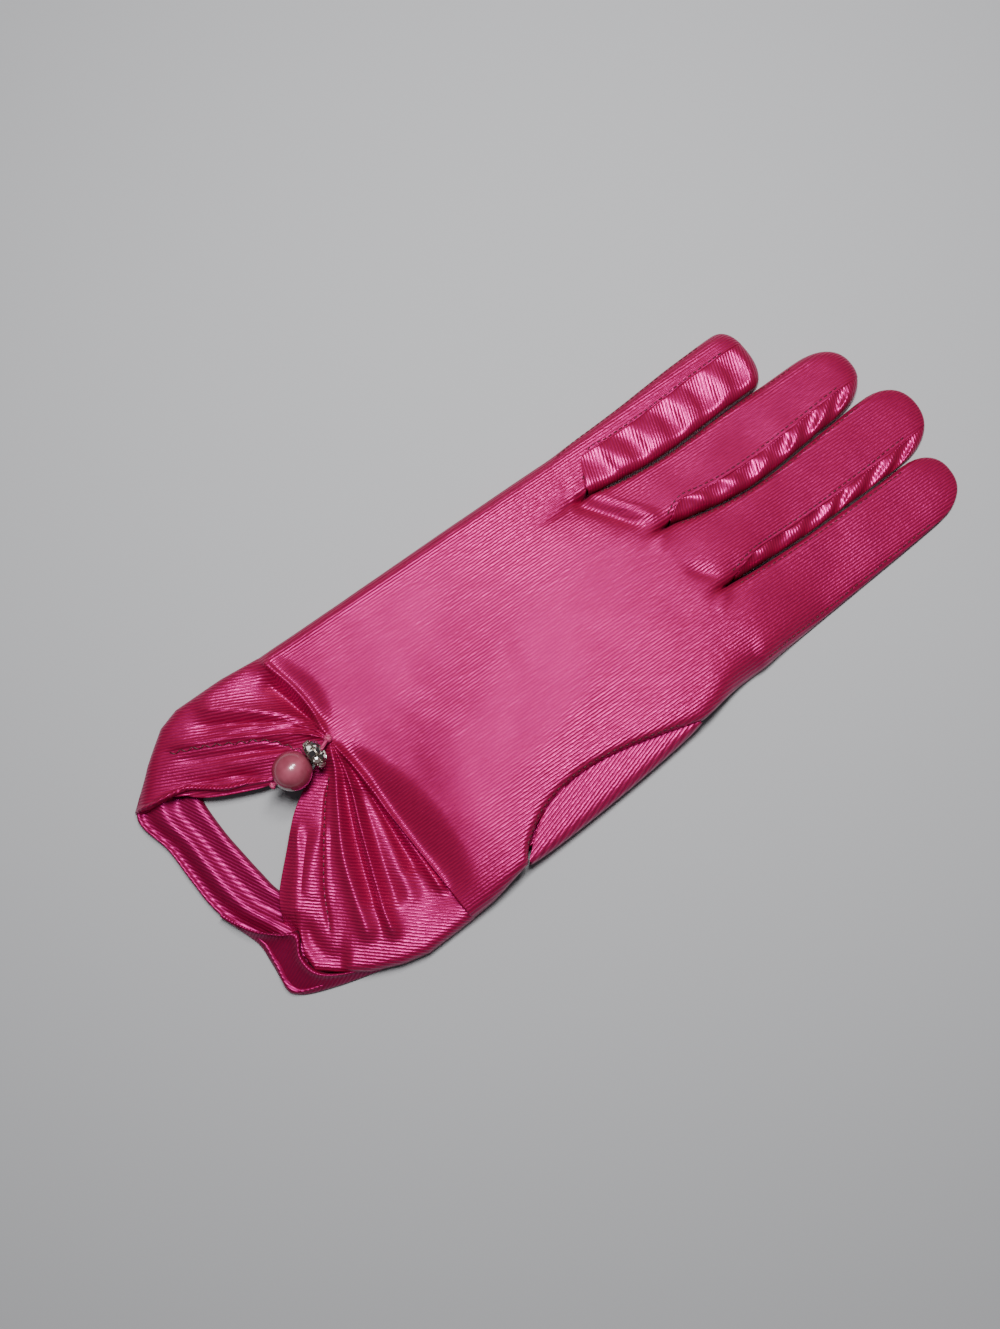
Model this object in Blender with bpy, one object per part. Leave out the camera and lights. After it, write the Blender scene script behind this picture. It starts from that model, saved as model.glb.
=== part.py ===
"""A left-hand satin evening glove, laid flat with the back of the hand up.

The glove is sewn from a back panel and a palm panel, each with four fingers, three
fourchettes between the fingers, a thumb that is folded under the palm, and a wrist
strap. The back panel is gathered to a knot, where it parts into two flaps, and a pearl
and a crystal rondelle hang from the knot on a thread.

Metres. +X runs from the cuff to the fingertips, +Y to the little finger, +Z up.
"""

import math

import bmesh
import bpy
import numpy as np
from mathutils import Matrix, Vector

MM = 0.001

# Cloth
WALL = 1.0 * MM
SEAM_GAP = 0.35 * MM
FOLD_GAP = 0.5 * MM
PALM_CAVITY = 4.8 * MM
FINGER_CAVITY = 2.9 * MM
EDGE_ROLL = 13.0 * MM
TIP_ROLL = 8.0 * MM

# Hand, from the cuff's corner to the fork of ring and middle finger
HAND_LENGTH = 153.0 * MM
FINGER_NAMES = ("little", "ring", "middle", "index")
FINGER_LENGTHS = (62.0 * MM, 75.5 * MM, 75.0 * MM, 72.0 * MM)
FINGER_WIDTHS = (17.2 * MM, 19.8 * MM, 18.8 * MM, 20.4 * MM)
FINGER_TIP_LENGTHS = (6.0 * MM, 13.0 * MM, 14.0 * MM, 12.0 * MM)
FINGER_GAP = 0.7 * MM
HAND_WIDTH = sum(FINGER_WIDTHS)

# Knot and cuff
KNOT_FROM_CUFF = 51.6 * MM
KNOT_OFFSET = 7.9 * MM
KNOT_LEVEL = 6.7 * MM
KNOT_REACH = 9.0 * MM
KNOT_FLAT = 1.0 * MM
KNOT_ROW_ENDS = (0.93, 1.095)
PALM_NOTCH = 6.0 * MM
FREE_EDGE_RISE = 1.0 * MM
STRAP_CROWN = 0.5 * MM
LEG_COLUMNS = 4
LEG_ROWS = 4

# Thumb, folded under the palm
THUMB_START = 75.0 * MM
THUMB_OPENING = 56.0 * MM
THUMB_LENGTH = 58.0 * MM
THUMB_WIDTH = 24.0 * MM
THUMB_CAVITY = 1.4 * MM
THUMB_ANGLE = math.radians(47.0)
THUMB_NOTCH_DEPTH = 8.9 * MM
THUMB_BULGE = 3.8 * MM
THUMB_OVERLAP = 2.6 * MM
THUMB_CLEARANCE = 0.2 * MM
PALM_INSET = 3.0 * MM
THUMB_END_TUCK = 1.2 * MM
NOTCH_BLEND = 20.0 * MM

# Fourchettes: width that shows, and the puckers along it
FOURCHETTE_WIDTHS = (11.2 * MM, 5.4 * MM, 3.8 * MM)
FOURCHETTE_STARTS = (0.14, 0.16, 0.22)
COVER_FADES = ((0.06, 0.36), (0.06, 0.30), (0.08, 0.30))
FOURCHETTE_GAP = 0.5 * MM
PUCKER_PITCH = 11.6 * MM
PUCKER_HEIGHT = 0.35 * MM

# Trim
PEARL_DIAMETER = 10.0 * MM
PEARL_PLACE = (40.3 * MM, 5.7 * MM, 11.3 * MM)
RONDELLE_DIAMETER = 6.8 * MM
RONDELLE_THICKNESS = 2.6 * MM
RONDELLE_STONES = 10
RONDELLE_PLACE = (47.0 * MM, 6.0 * MM, 11.7 * MM)
STONE_RISE = 0.45 * MM
BEAD_BORE = 1.8 * MM
THREAD_DIAMETER = 1.0 * MM
THREAD_KNOT = 2.2 * MM
BEAD_GAP = 0.35 * MM
THREAD_LEAD = 0.8 * MM

# How far the palm and the back are lifted round the thumb: full height and end of the
# lift round its tube, in shares of THUMB_WIDTH; fade past both ends of its opening, in
# shares of THUMB_OPENING; full height and end of the lift inwards from the opening, in
# shares of THUMB_WIDTH.
PALM_LIFT_REACHES = (0.66, 1.15, 0.35, 0.70, 1.35)
BACK_LIFT_REACHES = (0.45, 2.40, 0.85, 0.50, 2.40)

# Levels above the surface that the glove lies on
THUMB_HEIGHT = 2 * WALL + THUMB_CAVITY
THUMB_LIFT = THUMB_HEIGHT + FOLD_GAP
MOUTH_LEVEL = THUMB_LIFT + 2 * WALL + SEAM_GAP
SEAM_LEVEL = 2 * WALL + SEAM_GAP
NOTCH_LEVEL = 3 * WALL + 2 * SEAM_GAP
FLAP_LEVEL = SEAM_LEVEL + STRAP_CROWN + SEAM_GAP
TOP_LEVEL = SEAM_LEVEL + PALM_CAVITY

# Grid of the panels: columns across each finger, and rows along
FINGER_COLUMNS = 6
COLUMNS = FINGER_COLUMNS * len(FINGER_NAMES)
KNOT_COLUMN = 8
BACK_ROWS = 18
BACK_FINGER_ROWS = 11
PALM_ROWS = 12
PALM_FINGER_ROWS = 8
FOURCHETTE_ROWS = 16
FOURCHETTE_COLUMNS = 3
LEFT_RAYS = 14
RIGHT_RAYS = 20
THUMB_ROWS = 11
STRAP_COLUMNS = 5

# Where each seam between fingers drifts sideways, in shares of a finger's mean width,
# at shares of the way from the forks to the fingertips. Columns: share of the way,
# outer edge of the little finger, seams little-ring, ring-middle and middle-index,
# outer edge of the index finger.
SEAM_DRIFT = (
    (0.00, -0.03, 0.11, 0.18, 0.04, -0.09),
    (0.35, 0.03, -0.01, -0.02, -0.01, 0.01),
    (0.70, 0.12, 0.05, 0.09, 0.02, 0.11),
    (1.00, 0.17, 0.08, 0.19, 0.10, 0.21),
)

# The forks lie on a curve across the hand. Columns: seam, share of HAND_LENGTH.
FORKS = (
    (0, 0.905),
    (1, 0.920),
    (2, 1.000),
    (3, 1.025),
    (4, 0.985),
)

# Sides of the hand. Columns: share of HAND_LENGTH from the cuff's corner, share of
# HAND_WIDTH from the middle.
LEFT_SIDE = (
    (0.337, 0.479),
    (0.450, 0.481),
    (0.660, 0.488),
    (0.905, 0.493),
)
RIGHT_SIDE = (
    (0.337, 0.645),
    (0.405, 0.634),
    (0.490, 0.600),
    (0.660, 0.573),
    (0.860, 0.545),
    (0.985, 0.520),
)

# Outer edges of the two flaps, from the knot's line to the flap's end. Columns:
# share of KNOT_FROM_CUFF, share of HAND_WIDTH from the middle.
LEFT_FLAP_EDGE = (
    (0.93, 0.480),
    (0.72, 0.490),
    (0.45, 0.487),
    (0.34, 0.461),
    (0.19, 0.381),
    (0.02, 0.276),
)
RIGHT_FLAP_EDGE = (
    (1.095, -0.643),
    (0.83, -0.650),
    (0.70, -0.631),
    (0.55, -0.591),
    (0.42, -0.536),
    (0.34, -0.492),
    (0.33, -0.440),
    (0.36, -0.375),
    (0.33, -0.305),
)

# Inner edges of the flaps bend away from the straight line between the knot and the
# flap's end. Columns: share of the line, bend in shares of its length.
LEFT_FLAP_BEND = (
    (0.00, 0.000),
    (0.33, 0.105),
    (0.53, 0.083),
    (0.66, 0.050),
    (0.78, 0.000),
    (1.00, 0.000),
)
RIGHT_FLAP_BEND = (
    (0.00, 0.000),
    (0.34, -0.075),
    (0.44, -0.086),
    (0.62, -0.076),
    (0.82, -0.060),
    (1.00, 0.000),
)

# Folds that spread from the knot over each flap. Columns: share of the flap's outer
# edge, height in shares of FOLD_HEIGHT.
FOLD_HEIGHT = 1.7 * MM
FOLD_FULL = 32.0 * MM
LEFT_FREE_FROM = 6.0 * MM
RIGHT_FREE_FROM = 16.0 * MM
LEFT_FOLDS = (
    (0.00, -0.10),
    (0.09, 0.85),
    (0.22, -0.25),
    (0.37, 1.00),
    (0.50, -0.15),
    (0.64, 0.75),
    (0.80, -0.10),
    (1.00, 0.10),
)
RIGHT_FOLDS = (
    (0.00, 0.90),
    (0.10, -0.20),
    (0.20, 0.30),
    (0.27, -0.20),
    (0.37, 1.00),
    (0.47, -0.20),
    (0.62, 0.90),
    (0.78, 0.10),
    (1.00, 0.00),
)
HAND_VALLEY = 0.9 * MM
HAND_VALLEY_WIDTH = 5.0 * MM
HAND_VALLEY_START = 6.0 * MM
HAND_VALLEY_FULL = 18.0 * MM
FOLD_EDGE_ROLL = 9.0 * MM
FREE_FADE = 13.0 * MM

# Wrist strap, from the left leg of the palm panel round the cuff to the right leg.
# Columns: inner edge and outer edge, each as a share of KNOT_FROM_CUFF and a share of
# HAND_WIDTH from the middle.
STRAP_SECTIONS = (
    (0.450, 0.260, 0.400, 0.480),
    (0.385, 0.228, 0.270, 0.425),
    (0.335, 0.198, 0.130, 0.345),
    (0.322, 0.165, 0.010, 0.252),
    (0.330, 0.055, 0.055, 0.112),
    (0.348, -0.034, 0.068, -0.005),
    (0.368, -0.118, 0.083, -0.114),
    (0.395, -0.204, 0.124, -0.213),
    (0.460, -0.275, 0.190, -0.310),
    (0.545, -0.335, 0.185, -0.400),
    (0.620, -0.385, 0.182, -0.500),
    (0.680, -0.430, 0.330, -0.545),
    (0.740, -0.470, 0.520, -0.583),
)

# The thumb's cloth where it rolls out of the opening and under the hand. Columns: how
# far in the outer cloth lies, in shares of the notch and the overlap; how far out, in
# shares of THUMB_BULGE; its height in shares of MOUTH_LEVEL; and how far in the inner
# cloth lies, in shares of THUMB_WIDTH.
THUMB_ROLL = (
    (1.00, 0.00, 1.00, 0.060),
    (0.60, 0.00, 1.00, 0.060),
    (0.26, 0.00, 0.99, 0.060),
    (0.05, 0.15, 0.93, 0.060),
    (0.00, 0.72, 0.75, 0.080),
    (0.00, 1.00, 0.46, 0.100),
    (0.00, 0.92, 0.22, 0.125),
    (0.00, 0.50, 0.05, 0.150),
    (0.00, -0.40, 0.00, 0.180),
    (0.00, -1.05, 0.00, 0.215),
    (0.00, -1.64, 0.00, 0.260),
)
THUMB_RIM_ROWS = 5

# Section of the thumb: place across its width from -1 to 1, and place between its
# inner cloth at 0 and its outer cloth at 1.
THUMB_LOOP = (
    (-0.94, 0.0),
    (-0.72, 0.0),
    (-0.46, 0.0),
    (-0.16, 0.0),
    (0.16, 0.0),
    (0.46, 0.0),
    (0.72, 0.0),
    (0.94, 0.0),
    (1.0, 0.5),
    (0.94, 1.0),
    (0.72, 1.0),
    (0.46, 1.0),
    (0.16, 1.0),
    (-0.16, 1.0),
    (-0.46, 1.0),
    (-0.72, 1.0),
    (-0.94, 1.0),
    (-1.0, 0.5),
)

SATIN = (0.62, 0.035, 0.19)
SATIN_THUMB = (0.66, 0.06, 0.24)
PEARL_PINK = (0.62, 0.22, 0.28)
GUNMETAL = (0.16, 0.14, 0.13)
THREAD_PINK = (0.50, 0.03, 0.15)


def table(rows, share, column=1):
    """The value in a column of a table at a share, along a smooth monotone curve."""
    xs = [row[0] for row in rows]
    ys = [row[column] for row in rows]
    slopes = [(y1 - y0) / (x1 - x0) for x0, x1, y0, y1 in zip(xs, xs[1:], ys, ys[1:])]
    tangents = [slopes[0]]
    for a, b in zip(slopes, slopes[1:]):
        tangents.append(0.0 if a * b <= 0 else 2 * a * b / (a + b))
    tangents.append(slopes[-1])
    share = min(max(share, xs[0]), xs[-1])
    k = min(max(int(np.searchsorted(xs, share)) - 1, 0), len(xs) - 2)
    span = xs[k + 1] - xs[k]
    u = (share - xs[k]) / span
    return float(
        ys[k] * (2 * u**3 - 3 * u**2 + 1)
        + tangents[k] * span * (u**3 - 2 * u**2 + u)
        + ys[k + 1] * (3 * u**2 - 2 * u**3)
        + tangents[k + 1] * span * (u**3 - u**2)
    )


def smooth(low, high, value):
    """0 below low and 1 above high, with a smooth step between them."""
    u = min(max((value - low) / (high - low), 0.0), 1.0)
    return u * u * (3 - 2 * u)


def mix(a, b, u):
    return a + (b - a) * u


def rolled(distance, roll):
    """Height, from 0 to 1, of cloth that rises from a folded edge."""
    u = min(max(distance / roll, 0.0), 1.0)
    return (1 - (1 - u) ** 2.2) ** (1 / 2.2)


def plan(x, y):
    return Vector((x, y, 0.0))


def raised(point, z):
    return Vector((point.x, point.y, z))


def along(points, share):
    """The point at a share of a polyline's length."""
    steps = [(b - a).length for a, b in zip(points, points[1:])]
    left = share * sum(steps)
    for a, b, step in zip(points, points[1:], steps):
        if left <= step:
            return a.lerp(b, left / step)
        left -= step
    return points[-1].copy()


def knot():
    return plan(KNOT_FROM_CUFF, KNOT_OFFSET)


def left_side(x):
    return table(LEFT_SIDE, x / HAND_LENGTH) * HAND_WIDTH


def right_side(x):
    """The thumb's side of the hand, as a run straight past the thumb's opening."""
    return -table(RIGHT_SIDE, x / HAND_LENGTH) * HAND_WIDTH


def thumb_share(x):
    """0 at the cuff end of the thumb's opening and 1 at its finger end."""
    return (x - THUMB_START) / THUMB_OPENING


def notch(x):
    """How far the back panel is cut in for the thumb."""
    share = min(max(thumb_share(x), 0.0), 1.0)
    return THUMB_NOTCH_DEPTH * math.sin(math.pi * share**0.7)


def notch_mask(x):
    share = thumb_share(x)
    return smooth(-0.22, -0.02, share) * (1 - smooth(1.02, 1.20, share))


def thumb_base():
    x = THUMB_START + 0.5 * THUMB_OPENING
    return plan(x, right_side(x))


def thumb_direction():
    return plan(math.cos(THUMB_ANGLE), math.sin(THUMB_ANGLE))


def thumb_plan(share, across):
    """Plan place on the flat thumb: share along it, across from -1 to 1."""
    tip = smooth(0.70, 1.0, share)
    joined = smooth(0.0, 0.52, share)
    turned = smooth(0.28, 0.80, share)
    direction = thumb_direction()
    opening = plan(THUMB_START + THUMB_OPENING, right_side(THUMB_START + THUMB_OPENING))
    opening -= plan(THUMB_START, right_side(THUMB_START))
    sideways = opening.normalized().lerp(plan(direction.y, -direction.x), turned).normalized()
    half = mix(0.48 * THUMB_OPENING, 0.5 * THUMB_WIDTH, joined)
    half *= math.sqrt(1 - (0.88 * tip) ** 2)
    return thumb_base() + direction * share * THUMB_LENGTH + sideways * half * across


def thumb_lift(x, y, reaches=PALM_LIFT_REACHES):
    """How high the cloth lies over the folded thumb."""
    tube_full, tube_end, base_fade, inward_full, inward_end = reaches
    direction = thumb_direction()
    point = plan(x, y) - thumb_base()
    reach = min(max(point.dot(direction), 0.0), THUMB_LENGTH - 0.5 * THUMB_WIDTH)
    away = (point - direction * reach).length
    over_tube = 1 - smooth(tube_full * THUMB_WIDTH, tube_end * THUMB_WIDTH, away)
    share = thumb_share(x)
    over_base = smooth(-base_fade, 0.0, share) * (1 - smooth(1.0, 1.0 + base_fade, share))
    inward = y - right_side(x)
    over_base *= 1 - smooth(inward_full * THUMB_WIDTH, inward_end * THUMB_WIDTH, inward)
    return THUMB_LIFT * (1 - (1 - over_tube) * (1 - over_base))


def back_lift(x, y, inside):
    """Lift of the back: the palm's at an edge, and a wide dome inside it."""
    return mix(thumb_lift(x, y), thumb_lift(x, y, BACK_LIFT_REACHES), inside)


def fork_x(seam):
    return table(FORKS, seam) * HAND_LENGTH


def seam_y(seam, x):
    """Sideways place, at x, of one of the five seams that bound the fingers."""
    beside = FINGER_LENGTHS[max(seam - 1, 0) : seam + 1]
    share = (x - fork_x(seam)) * len(beside) / sum(beside)
    drift = table(SEAM_DRIFT, share, seam + 1) * HAND_WIDTH / len(FINGER_NAMES)
    return 0.5 * HAND_WIDTH - sum(FINGER_WIDTHS[:seam]) + drift


def fork_row(column):
    """Plan place of the row of the forks at a column."""
    seam = column / FINGER_COLUMNS
    k = min(int(seam), len(FINGER_NAMES) - 1)
    y = mix(seam_y(k, fork_x(k)), seam_y(k + 1, fork_x(k + 1)), seam - k)
    return plan(fork_x(seam), y)


def back_start(column):
    """Where the row through the knot lies: it slants towards its ends."""
    if column <= KNOT_COLUMN:
        return KNOT_FROM_CUFF * mix(KNOT_ROW_ENDS[0], 1.0, column / KNOT_COLUMN)
    share = (column - KNOT_COLUMN) / (COLUMNS - KNOT_COLUMN)
    return KNOT_FROM_CUFF * mix(1.0, KNOT_ROW_ENDS[1], share)


def palm_start(column):
    """The palm panel's wrist edge, cut in between the two legs."""
    share = (column - LEG_COLUMNS) / (COLUMNS - 2 * LEG_COLUMNS)
    share = min(max(share, 0.0), 1.0)
    return KNOT_FROM_CUFF + PALM_NOTCH * math.sin(math.pi * share)


def hand_point(row_share, column, start, notched):
    """Plan place in the hand: row share 0 is the wrist row and 1 the row of the forks."""
    fork = fork_row(column)
    x = mix(start, fork.x, row_share)
    inset = notch(x) if notched else PALM_INSET * notch_mask(x)
    left = left_side(x)
    right = right_side(x) + inset
    if column <= KNOT_COLUMN:
        knot_y = mix(left_side(start), KNOT_OFFSET, column / KNOT_COLUMN)
    else:
        share = (column - KNOT_COLUMN) / (COLUMNS - KNOT_COLUMN)
        knot_y = mix(KNOT_OFFSET, right_side(start), share)
    at_knot = (knot_y - left_side(start)) / (right_side(start) - left_side(start))
    fork_left = fork_row(0).y
    at_fork = (fork.y - fork_left) / (fork_row(COLUMNS).y - fork_left)
    y = mix(left, right, mix(at_knot, at_fork, smooth(0.0, 1.0, row_share)))
    return plan(x, mix(y, fork.y, smooth(0.8, 1.0, row_share)))


def finger_point(finger, share, across):
    """Plan place in a finger: share along it, across from 0 to 1 towards the index."""
    low = fork_row(finger * FINGER_COLUMNS)
    high = fork_row((finger + 1) * FINGER_COLUMNS)
    start = fork_row((finger + across) * FINGER_COLUMNS)
    base_x = 0.5 * (low.x + high.x)
    flat = (1 - abs(2 * across - 1) ** 2.3) ** (1 / 2.3)
    end_x = base_x + FINGER_LENGTHS[finger] - FINGER_TIP_LENGTHS[finger] * (1 - flat)
    x = mix(start.x, end_x, share)
    gap = 0.5 * FINGER_GAP * smooth(0.0, 0.15, share)
    left = seam_y(finger, x) - (gap if finger else 0.0)
    right = seam_y(finger + 1, x) + (gap if finger < len(FINGER_NAMES) - 1 else 0.0)
    return plan(x, mix(start.y, mix(left, right, across), smooth(0.0, 0.12, share)))


def hand_top(point, row_share, column):
    """Top of the back panel over the hand, which parts into fingers near the forks."""
    x, y = point.x, point.y
    near_thumb = notch_mask(x) * (1 - smooth(0.0, NOTCH_BLEND, y - right_side(x) - notch(x)))
    level = mix(SEAM_LEVEL, NOTCH_LEVEL, near_thumb)
    from_edge = min(left_side(x) - y, y - right_side(x) - notch(x))
    broad = level + (TOP_LEVEL - level) * rolled(from_edge, EDGE_ROLL)
    across = column / FINGER_COLUMNS
    from_seam = min(across - math.floor(across), math.ceil(across) - across)
    narrow = SEAM_LEVEL + FINGER_CAVITY * rolled(from_seam, 0.5)
    height = mix(broad, narrow, smooth(0.80, 1.0, row_share))
    aside = (x - back_start(column)) / HAND_VALLEY_WIDTH
    valley = HAND_VALLEY * math.exp(-((aside - 0.9) ** 2) * 2.2)
    from_knot = (point - knot()).length
    valley *= smooth(HAND_VALLEY_START, HAND_VALLEY_FULL, from_knot)
    height -= valley * rolled(from_edge, FOLD_EDGE_ROLL)
    height = mix(KNOT_LEVEL, height, smooth(KNOT_FLAT, KNOT_REACH, from_knot))
    inside = rolled(from_edge, EDGE_ROLL) * smooth(KNOT_FLAT, EDGE_ROLL, from_knot)
    inside *= mix(1.0, rolled(from_seam, 0.5), smooth(0.80, 1.0, row_share))
    return height + back_lift(x, y, inside)


def finger_top(finger, point, share, across):
    """Top of the back of a finger."""
    from_seam = min(across, 1 - across)
    from_tip = (1 - share) * FINGER_LENGTHS[finger]
    height = FINGER_CAVITY * rolled(from_seam, 0.5)
    height *= rolled(from_tip, max(FINGER_TIP_LENGTHS[finger], TIP_ROLL))
    return SEAM_LEVEL + height + back_lift(point.x, point.y, rolled(from_seam, 0.5))


def edge_points(rows):
    return [plan(x * KNOT_FROM_CUFF, y * HAND_WIDTH) for x, y in rows]


def flap_point(edge, bends, ray, radius):
    """Plan place in a flap: ray 0 is the knot's line and ray 1 the flap's free edge."""
    start, outer, end = knot(), along(edge, ray), along(edge, 1.0)
    line = end - start
    bend = plan(-line.y, line.x) * table(bends, radius)
    return start.lerp(outer, radius) + bend * smooth(0.45, 1.0, ray)


def flap_top(folds, free_from, ray, radius, reach):
    """Top of a flap: rolled at its outer side and low at its free edge."""
    from_edge = (1 - radius) * reach
    from_knot = radius * reach
    level = mix(SEAM_LEVEL, FLAP_LEVEL, smooth(0.05, 0.3, ray))
    free = smooth(0.72, 1.0, ray) * smooth(free_from, free_from + FREE_FADE, from_knot)
    dome = mix(TOP_LEVEL - level, FREE_EDGE_RISE, free)
    height = level + dome * rolled(from_edge, EDGE_ROLL)
    fold = FOLD_HEIGHT * table(folds, ray) * min(from_knot / FOLD_FULL, 1.0) ** 1.6
    height += fold * mix(0.25, 1.0, rolled(from_edge, FOLD_EDGE_ROLL))
    return mix(KNOT_LEVEL, height, smooth(KNOT_FLAT, KNOT_REACH, from_knot))


def material(name, colour, roughness, metallic=0.0):
    made = bpy.data.materials.new(name)
    made.use_nodes = True
    shader = made.node_tree.nodes["Principled BSDF"]
    shader.inputs["Base Color"].default_value = (*colour, 1.0)
    shader.inputs["Roughness"].default_value = roughness
    shader.inputs["Metallic"].default_value = metallic
    made.diffuse_color = (*colour, 1.0)
    return made


def add_grid(bm, points):
    """Adds a grid of quads through rows of points."""
    rows = [[bm.verts.new(p) for p in row] for row in points]
    for low, high in zip(rows, rows[1:]):
        for a, b, c, d in zip(low, low[1:], high[1:], high):
            bm.faces.new((a, b, c, d))
    return rows


def add_object(name, bm, look):
    bmesh.ops.remove_doubles(bm, verts=bm.verts, dist=0.01 * MM)
    bmesh.ops.dissolve_degenerate(bm, edges=bm.edges, dist=0.001 * MM)
    bmesh.ops.recalc_face_normals(bm, faces=bm.faces)
    mesh = bpy.data.meshes.new(name)
    bm.to_mesh(mesh)
    bm.free()
    mesh.shade_smooth()
    mesh.materials.append(look)
    made = bpy.data.objects.new(name, mesh)
    bpy.context.scene.collection.objects.link(made)
    return made


def thicken(made):
    """Gives an open sheet the cloth's thickness, on the side away from its normals."""
    cloth = made.modifiers.new("cloth", "SOLIDIFY")
    cloth.thickness = WALL
    cloth.offset = -1.0
    cloth.use_rim = True
    return made


def add_sheet(name, grids, look):
    """One cloth piece whose given side is its top."""
    bm = bmesh.new()
    for points in grids:
        add_grid(bm, points)
    made = add_object(name, bm, look)
    upward = sum(face.normal.z * face.area for face in made.data.polygons)
    if upward < 0:
        made.data.flip_normals()
    return thicken(made)


def covered_share(finger, share):
    """Share of a finger's width, from the little finger's side, that the back covers."""
    if finger >= len(FOURCHETTE_WIDTHS):
        return 1.0
    covered = FOURCHETTE_WIDTHS[finger] / FINGER_WIDTHS[finger]
    return 1.0 - covered * smooth(*COVER_FADES[finger], share)


def make_back_panel():
    palm = []
    for row in range(BACK_ROWS + 1):
        share = row / BACK_ROWS
        line = []
        for column in range(COLUMNS + 1):
            point = hand_point(share, column, back_start(column), True)
            line.append(raised(point, hand_top(point, share, column)))
        palm.append(line)
    grids = [palm]
    for finger in range(len(FINGER_NAMES)):
        first = finger * FINGER_COLUMNS
        grid = [palm[-1][first : first + FINGER_COLUMNS + 1]]
        for row in range(1, BACK_FINGER_ROWS + 1):
            share = row / BACK_FINGER_ROWS
            line = []
            for column in range(FINGER_COLUMNS + 1):
                across = column / FINGER_COLUMNS * covered_share(finger, share)
                point = finger_point(finger, share, across)
                line.append(raised(point, finger_top(finger, point, share, across)))
            grid.append(line)
        grids.append(grid)
    left = (LEFT_RAYS, LEFT_FLAP_EDGE, LEFT_FLAP_BEND, LEFT_FOLDS, LEFT_FREE_FROM)
    right = (RIGHT_RAYS, RIGHT_FLAP_EDGE, RIGHT_FLAP_BEND, RIGHT_FOLDS, RIGHT_FREE_FROM)
    for first, flap in ((palm[0][KNOT_COLUMN::-1], left), (palm[0][KNOT_COLUMN:], right)):
        rays, rows, bends, folds, free_from = flap
        edge = edge_points(rows)
        steps = len(first) - 1
        grid = [first]
        for ray in range(1, rays + 1):
            share = ray / rays
            reach = (along(edge, share) - knot()).length
            line = []
            for step in range(steps + 1):
                radius = step / steps
                point = flap_point(edge, bends, share, radius)
                height = flap_top(folds, free_from, share, radius, reach)
                line.append(raised(point, height))
            grid.append(line)
        grids.append(grid)
    return add_sheet("back_panel", grids, material("back_satin", SATIN, 0.35))


def strap_section(row, across):
    inner_x, inner_y, outer_x, outer_y = row
    inner = plan(inner_x * KNOT_FROM_CUFF, inner_y * HAND_WIDTH)
    outer = plan(outer_x * KNOT_FROM_CUFF, outer_y * HAND_WIDTH)
    return inner.lerp(outer, across)


def make_palm_panel():
    def top(point):
        return raised(point, WALL + thumb_lift(point.x, point.y))

    hand = []
    for row in range(PALM_ROWS + 1):
        share = row / PALM_ROWS
        line = [hand_point(share, c, palm_start(c), False) for c in range(COLUMNS + 1)]
        hand.append([top(point) for point in line])
    grids = [hand]
    for finger in range(len(FINGER_NAMES)):
        first = finger * FINGER_COLUMNS
        grid = [hand[-1][first : first + FINGER_COLUMNS + 1]]
        for row in range(1, PALM_FINGER_ROWS + 1):
            line = []
            for column in range(FINGER_COLUMNS + 1):
                across = column / FINGER_COLUMNS
                line.append(top(finger_point(finger, row / PALM_FINGER_ROWS, across)))
            grid.append(line)
        grids.append(grid)
    left = hand[0][: LEG_COLUMNS + 1]
    right = hand[0][COLUMNS - LEG_COLUMNS :]
    for wrist, section, outer_first in (
        (left, STRAP_SECTIONS[0], True),
        (right, STRAP_SECTIONS[-1], False),
    ):
        grid = [wrist]
        for row in range(1, LEG_ROWS + 1):
            line = []
            for column, start in enumerate(wrist):
                across = column / LEG_COLUMNS
                end = strap_section(section, 1 - across if outer_first else across)
                whole = (end - plan(start.x, start.y)).length
                share = row / LEG_ROWS * (1 - SEAM_GAP / whole)
                line.append(raised(plan(start.x, start.y).lerp(end, share), start.z))
            grid.append(line)
        grids.append(grid)
    return add_sheet("palm_panel", grids, material("palm_satin", SATIN, 0.40))


def make_fourchette(finger):
    grid = []
    for row in range(FOURCHETTE_ROWS + 1):
        share = mix(FOURCHETTE_STARTS[finger], 1.0, row / FOURCHETTE_ROWS)
        start = covered_share(finger, share) + FOURCHETTE_GAP / FINGER_WIDTHS[finger]
        line = []
        for column in range(FOURCHETTE_COLUMNS + 1):
            place = column / FOURCHETTE_COLUMNS
            across = mix(start, 1.0, place)
            point = finger_point(finger, share, across)
            turn = 2 * math.pi * share * FINGER_LENGTHS[finger] / PUCKER_PITCH
            pucker = PUCKER_HEIGHT * math.sin(turn) * math.sin(math.pi * place)
            line.append(raised(point, finger_top(finger, point, share, across) + pucker))
        grid.append(line)
    name = f"fourchette_{FINGER_NAMES[finger]}_{FINGER_NAMES[finger + 1]}"
    look = material(f"{FINGER_NAMES[finger]}_fourchette_satin", SATIN, 0.35)
    return add_sheet(name, [grid], look)


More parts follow.
